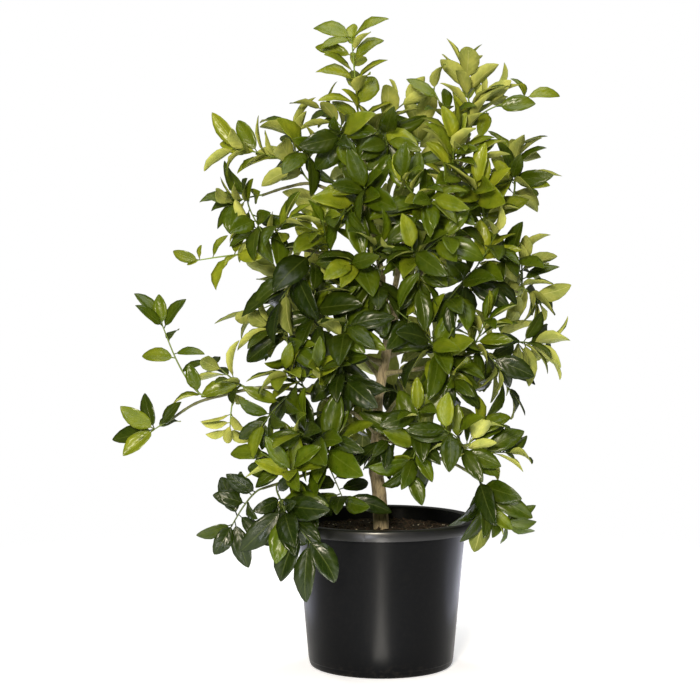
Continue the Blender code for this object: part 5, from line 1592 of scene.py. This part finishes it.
@dataclass
class LeafPattern:
    """The flat leaf that every leaf is copied from: 1 long, 1 to each side and 1 thick."""

    rows: tuple[float, ...] = (0.0, 0.11, 0.17, 0.28, 0.44, 0.62, 0.79, 0.92, 0.975, 1.0)
    columns: int = 4
    stalk_share: float = 0.055
    stalk_thickness: float = 1.3 * MM
    blade_thickness: float = 0.4 * MM
    widest: float = 0.86  # below 1, the outline is widest nearer its foot
    bluntness: tuple[float, float] = (0.64, 0.78)  # powers of the outline at its foot and tip
    blade_ease: float = 0.2
    fold: tuple[float, float] = (12, 32)  # degrees that an old leaf's halves fold up
    young_fold: float = 10
    unfolding: float = 0.25
    wave: tuple[float, float] = (0.03, 0.13)  # depth, as a share of the half width
    wave_count: tuple[float, float] = (1.2, 2.2)
    wave_lag: tuple[float, float] = (0.3, 1.6)  # between the two edges
    balance: float = 0.35  # share of the half width where the fold neither lifts nor drops
    tip_curl: tuple[float, float] = (-0.04, 0.14)
    twist: float = 0.45
    sway: float = 0.07

    def width_share(self, s: float) -> float:
        """Half the outline's width at a place along the leaf: a stalk, then a pointed oval."""
        if s <= STALK_END:
            return self.stalk_share
        t = (s - STALK_END) / (1 - STALK_END)
        foot, tip = self.bluntness
        return max(self.stalk_share, math.sin(math.pi * t ** self.widest) ** (foot + (tip - foot) * t))

    def build(self) -> bpy.types.Object:
        """Shapes a grid row by row, closes its tip and gives it two sides."""
        bpy.ops.object.select_all(action="DESELECT")
        spans = len(self.rows) - 1
        bpy.ops.mesh.primitive_grid_add(x_subdivisions=self.columns, y_subdivisions=spans, size=2)
        piece = bpy.context.object
        across_row = self.columns + 1
        with editing(piece) as mesh:
            for k, place in enumerate(self.rows):
                pick(mesh, range(k * across_row, (k + 1) * across_row))
                before = -1 + 2 * k / spans
                bpy.ops.transform.translate(value=(0, place - before, 0))
                if k < spans:
                    bpy.ops.transform.resize(value=(self.width_share(place), 1, 1),
                                             center_override=(0, place, 0))
            bpy.ops.mesh.merge(type="CENTER")
        apply_modifier(piece, "SOLIDIFY", thickness=1.0, offset=0.0)
        dress(piece, UPPER_LEAF.material(), LOWER_LEAF.material())
        for face in piece.data.polygons:
            face.material_index = int(face.normal.z < -0.5)
        smooth(piece)
        return piece

    def bent(self, flat: np.ndarray, leaf: Leaf, draw: random.Random) -> np.ndarray:
        """The pattern's corners, folded, waved and arched onto a leaf's frame.

        Args:
            flat: The pattern's own corners.
            leaf: The leaf's frame.
            draw: Where the leaf's own shape is drawn from.

        Returns:
            The corners' places on the tree.
        """
        x, s, level = flat.T
        blade = np.clip((s - STALK_END) / self.blade_ease, 0.0, 1.0)
        share = np.array([self.width_share(place) for place in s])
        half = leaf.width / 2
        fold = math.radians(draw.uniform(*self.fold) + self.young_fold * leaf.tone)
        fold = fold * blade * (1 - self.unfolding * s)
        depth = draw.uniform(*self.wave)
        phase = 2 * math.pi * (draw.uniform(*self.wave_count) * s + draw.random())
        wave = depth * np.sin(phase + np.sign(x) * draw.uniform(*self.wave_lag))
        lift = half * (np.abs(x) - self.balance * share) * np.sin(fold) + half * wave * np.abs(x) * blade
        lift -= leaf.length * draw.uniform(*self.tip_curl) * np.clip(s - 0.5, 0.0, 1.0) ** 2 * 3
        thick = self.stalk_thickness + (self.blade_thickness - self.stalk_thickness) * blade
        lift += level * thick
        aside = half * x * np.cos(fold)
        twist = draw.uniform(-self.twist, self.twist) * s * blade
        aside, lift = (aside * np.cos(twist) - lift * np.sin(twist),
                       aside * np.sin(twist) + lift * np.cos(twist))
        aside = aside + leaf.length * draw.uniform(-self.sway, self.sway) * s ** 2
        turn = leaf.arch * s
        run = leaf.length * np.sin(turn) / leaf.arch
        drop = leaf.length * (1 - np.cos(turn)) / leaf.arch
        base, way, normal, side = (np.array(v[:]) for v in (leaf.base, leaf.way, leaf.normal, leaf.side))
        upward = np.cos(turn)[:, None] * normal + np.sin(turn)[:, None] * way
        return (base + run[:, None] * way - drop[:, None] * normal + aside[:, None] * side
                + lift[:, None] * upward)


@dataclass
class Foliage:
    """Makes the sprays: tapering twigs with a bud at each tip, and their leaves."""

    tree: Tree
    pattern: LeafPattern
    bark: bpy.types.Material
    twig_spans: int = 5
    twig_sides: int = 6
    bud_length: float = 4 * MM
    bud: tuple[tuple[float, float], ...] = ((0.35, 1.35), (0.7, 1.08), (1.0, 0.25))  # along, swelling

    def twig(self, stem: Stem, tone: float) -> bpy.types.Object:
        """One twig with its end bud."""
        path = Stem(smooth_path(stem.points, self.twig_spans), (stem.radii[0], stem.radii[-1]))
        end, way = path.at(1.0)
        points = path.points + [end + way * self.bud_length * along for along, _ in self.bud]
        radii = path.radii + [path.radii[-1] * share for _, share in self.bud]
        piece = tube("twig", points, radii, self.twig_sides)
        mark(piece, "tone", tone)
        dress(piece, self.bark)
        return piece

    def build(self, master: bpy.types.Object) -> list[bpy.types.Object]:
        """Every spray, each one piece.

        Args:
            master: The built pattern, which each leaf copies.

        Returns:
            The finished sprays.
        """
        flat = points_of(master)
        sprays = []
        for spray, rows in SPRAYS.items():
            draw = random.Random(f"shapes of {spray}")
            pieces = [self.twig(stem, row[5]) for stem, row in zip(self.tree.twigs[spray], rows)]
            for leaf in self.tree.leaves[spray]:
                piece = copy_of(master)
                move_points(piece, self.pattern.bent(flat, leaf, draw))
                mark(piece, "tone", leaf.tone)
                pieces.append(piece)
            made = joined(f"leafy_shoot_{spray}", pieces)
            sprays.append(settle(made, LeafSlot.of(rows[0][5]).value, f"spray_{spray}"))
        return sprays


# ---------------------------------------------------------------- the studio


@dataclass(frozen=True)
class SoftLight:
    """One soft box: where it stands, what it faces, its size, power and tint, and if it mirrors."""

    name: str
    place: tuple[float, float, float]
    aim: tuple[float, float, float]
    size: tuple[float, float]
    watts: float
    tint: str = "#ffffff"
    mirrors: bool = True

    def hang(self) -> None:
        """Adds the light to the scene."""
        light = bpy.data.lights.new(self.name, "AREA")
        light.shape = "RECTANGLE"
        light.size, light.size_y = self.size
        light.energy = self.watts
        light.color = srgb(self.tint)[:3]
        holder = bpy.data.objects.new(self.name, light)
        holder.location = self.place
        toward = Vector(self.aim) - Vector(self.place)
        holder.rotation_euler = toward.to_track_quat("-Z", "Y").to_euler()
        holder.visible_camera = False
        holder.visible_glossy = self.mirrors
        bpy.context.scene.collection.objects.link(holder)


@dataclass
class Studio:
    """A pale floor that fades into a white surround, soft boxes and the camera."""

    camera_place: tuple[float, float, float] = (0.0, -3.5, 0.78)
    camera_aim: tuple[float, float, float] = (-0.058, 0.0, 0.588)
    lens: float = 97.0
    floor_radius: float = 1.9
    floor_fade: tuple[float, float] = (0.7, 1.7)
    floor_white: str = "#f8f9fe"
    surround: str = "#ffffff"
    ambient: str = "#f4f4ee"
    ambient_strength: float = 0.13
    floor_glow: float = 0.45  # lifts the shadows on the floor, as a light table does
    lights: tuple[SoftLight, ...] = (
        SoftLight("overhead_box", (0.0, -0.4, 2.9), (0, 0, 0.5), (2.4, 2.0), 44),
        SoftLight("key_box", (-0.45, -3.7, 1.5), (0, 0, 0.65), (0.5, 0.5), 157, "#fff3dc"),
        SoftLight("floor_strip", (0.0, -0.84, 0.01), (0, -0.84, 1.0), (0.045, 1.32), 3.6, "#fffaf0"),
        SoftLight("left_floor_strip", (-0.5, 0.7, 0.01), (-0.5, 0.7, 1.0), (0.4, 1.3), 2.8, "#dfe3ff"),
        SoftLight("right_floor_strip", (0.5, 0.7, 0.01), (0.5, 0.7, 1.0), (0.4, 1.3), 2.8, "#dfe3ff"),
        SoftLight("rim_strip", (-0.5, -2.0, 0.03), (-0.03, -0.18, 0.265), (0.3, 0.05), 6, "#f2f4ff"),
        SoftLight("left_strip", (-1.2, 1.75, 0.8), (0, 0, 0.4), (0.6, 2.0), 24, "#fdf8ec", False),
        SoftLight("right_strip", (1.2, 1.75, 0.8), (0, 0, 0.4), (0.6, 2.0), 24, "#fdf8ec", False),
    )

    def lay_floor(self) -> None:
        """A white disc whose edge fades out."""
        bpy.ops.object.select_all(action="DESELECT")
        bpy.ops.mesh.primitive_circle_add(vertices=96, radius=self.floor_radius, fill_type="NGON")
        floor = bpy.context.object
        floor.name = "studio_floor"
        paint = Finish("painted_white_floor", Base_Color=self.floor_white, Roughness=0.8,
                       Specular_IOR_Level=0.2, Emission_Color=self.floor_white,
                       Emission_Strength=self.floor_glow)
        reach = paint.add("VectorMath", paint.place, operation="LENGTH")
        fade = paint.add("MapRange", reach, *self.floor_fade, 1.0, 0.0, interpolation_type="SMOOTHSTEP")
        dress(floor, paint.feed(Alpha=fade))

    def surround_it(self) -> None:
        """A white surround to look at, and a much dimmer one that lights the tree."""
        world = bpy.data.worlds.new("white_surround")
        bpy.context.scene.world = world
        world.use_nodes = True
        world.node_tree.nodes.clear()
        add = partial(add_node, world.node_tree)
        seen = add("Background", self.surround)
        lighting = add("Background", self.ambient, self.ambient_strength)
        is_seen = add("LightPath").outputs["Is Camera Ray"]
        add("OutputWorld", add("MixShader", is_seen, lighting, seen))

    def place_camera(self) -> None:
        """The camera, looking slightly down at the middle of the crown."""
        lens = bpy.data.cameras.new("camera")
        lens.lens = self.lens
        camera = bpy.data.objects.new("camera", lens)
        camera.location = self.camera_place
        toward = Vector(self.camera_aim) - Vector(self.camera_place)
        camera.rotation_euler = toward.to_track_quat("-Z", "Y").to_euler()
        bpy.context.scene.collection.objects.link(camera)
        bpy.context.scene.camera = camera

    def build(self) -> None:
        """Sets everything up."""
        bpy.context.scene.view_settings.view_transform = "Standard"
        self.lay_floor()
        self.surround_it()
        self.place_camera()
        for light in self.lights:
            light.hang()


def main() -> None:
    """Builds the studio and the tree."""
    logging.basicConfig(level=logging.INFO, format="%(name)s: %(message)s")
    Studio().build()

    tree = Tree()
    planned = tree.leaf_count()
    extra = tree.infill(share=0.75, shrink=0.95)
    log.info("%d leaves as in the CAD model, and %d more", planned, extra)

    pot = NurseryPot()
    pot.build()
    SoilBed(pot).build()
    wood = WoodBark().material()
    GrownTrunk(wood).build()
    for name in BRANCHES:
        GrownBranch(name, wood).build(tree)

    pattern = LeafPattern()
    master = pattern.build()
    Foliage(tree, pattern, GreenBark().material()).build(master)
    bpy.data.objects.remove(master, do_unlink=True)


if __name__ == "__main__":
    main()
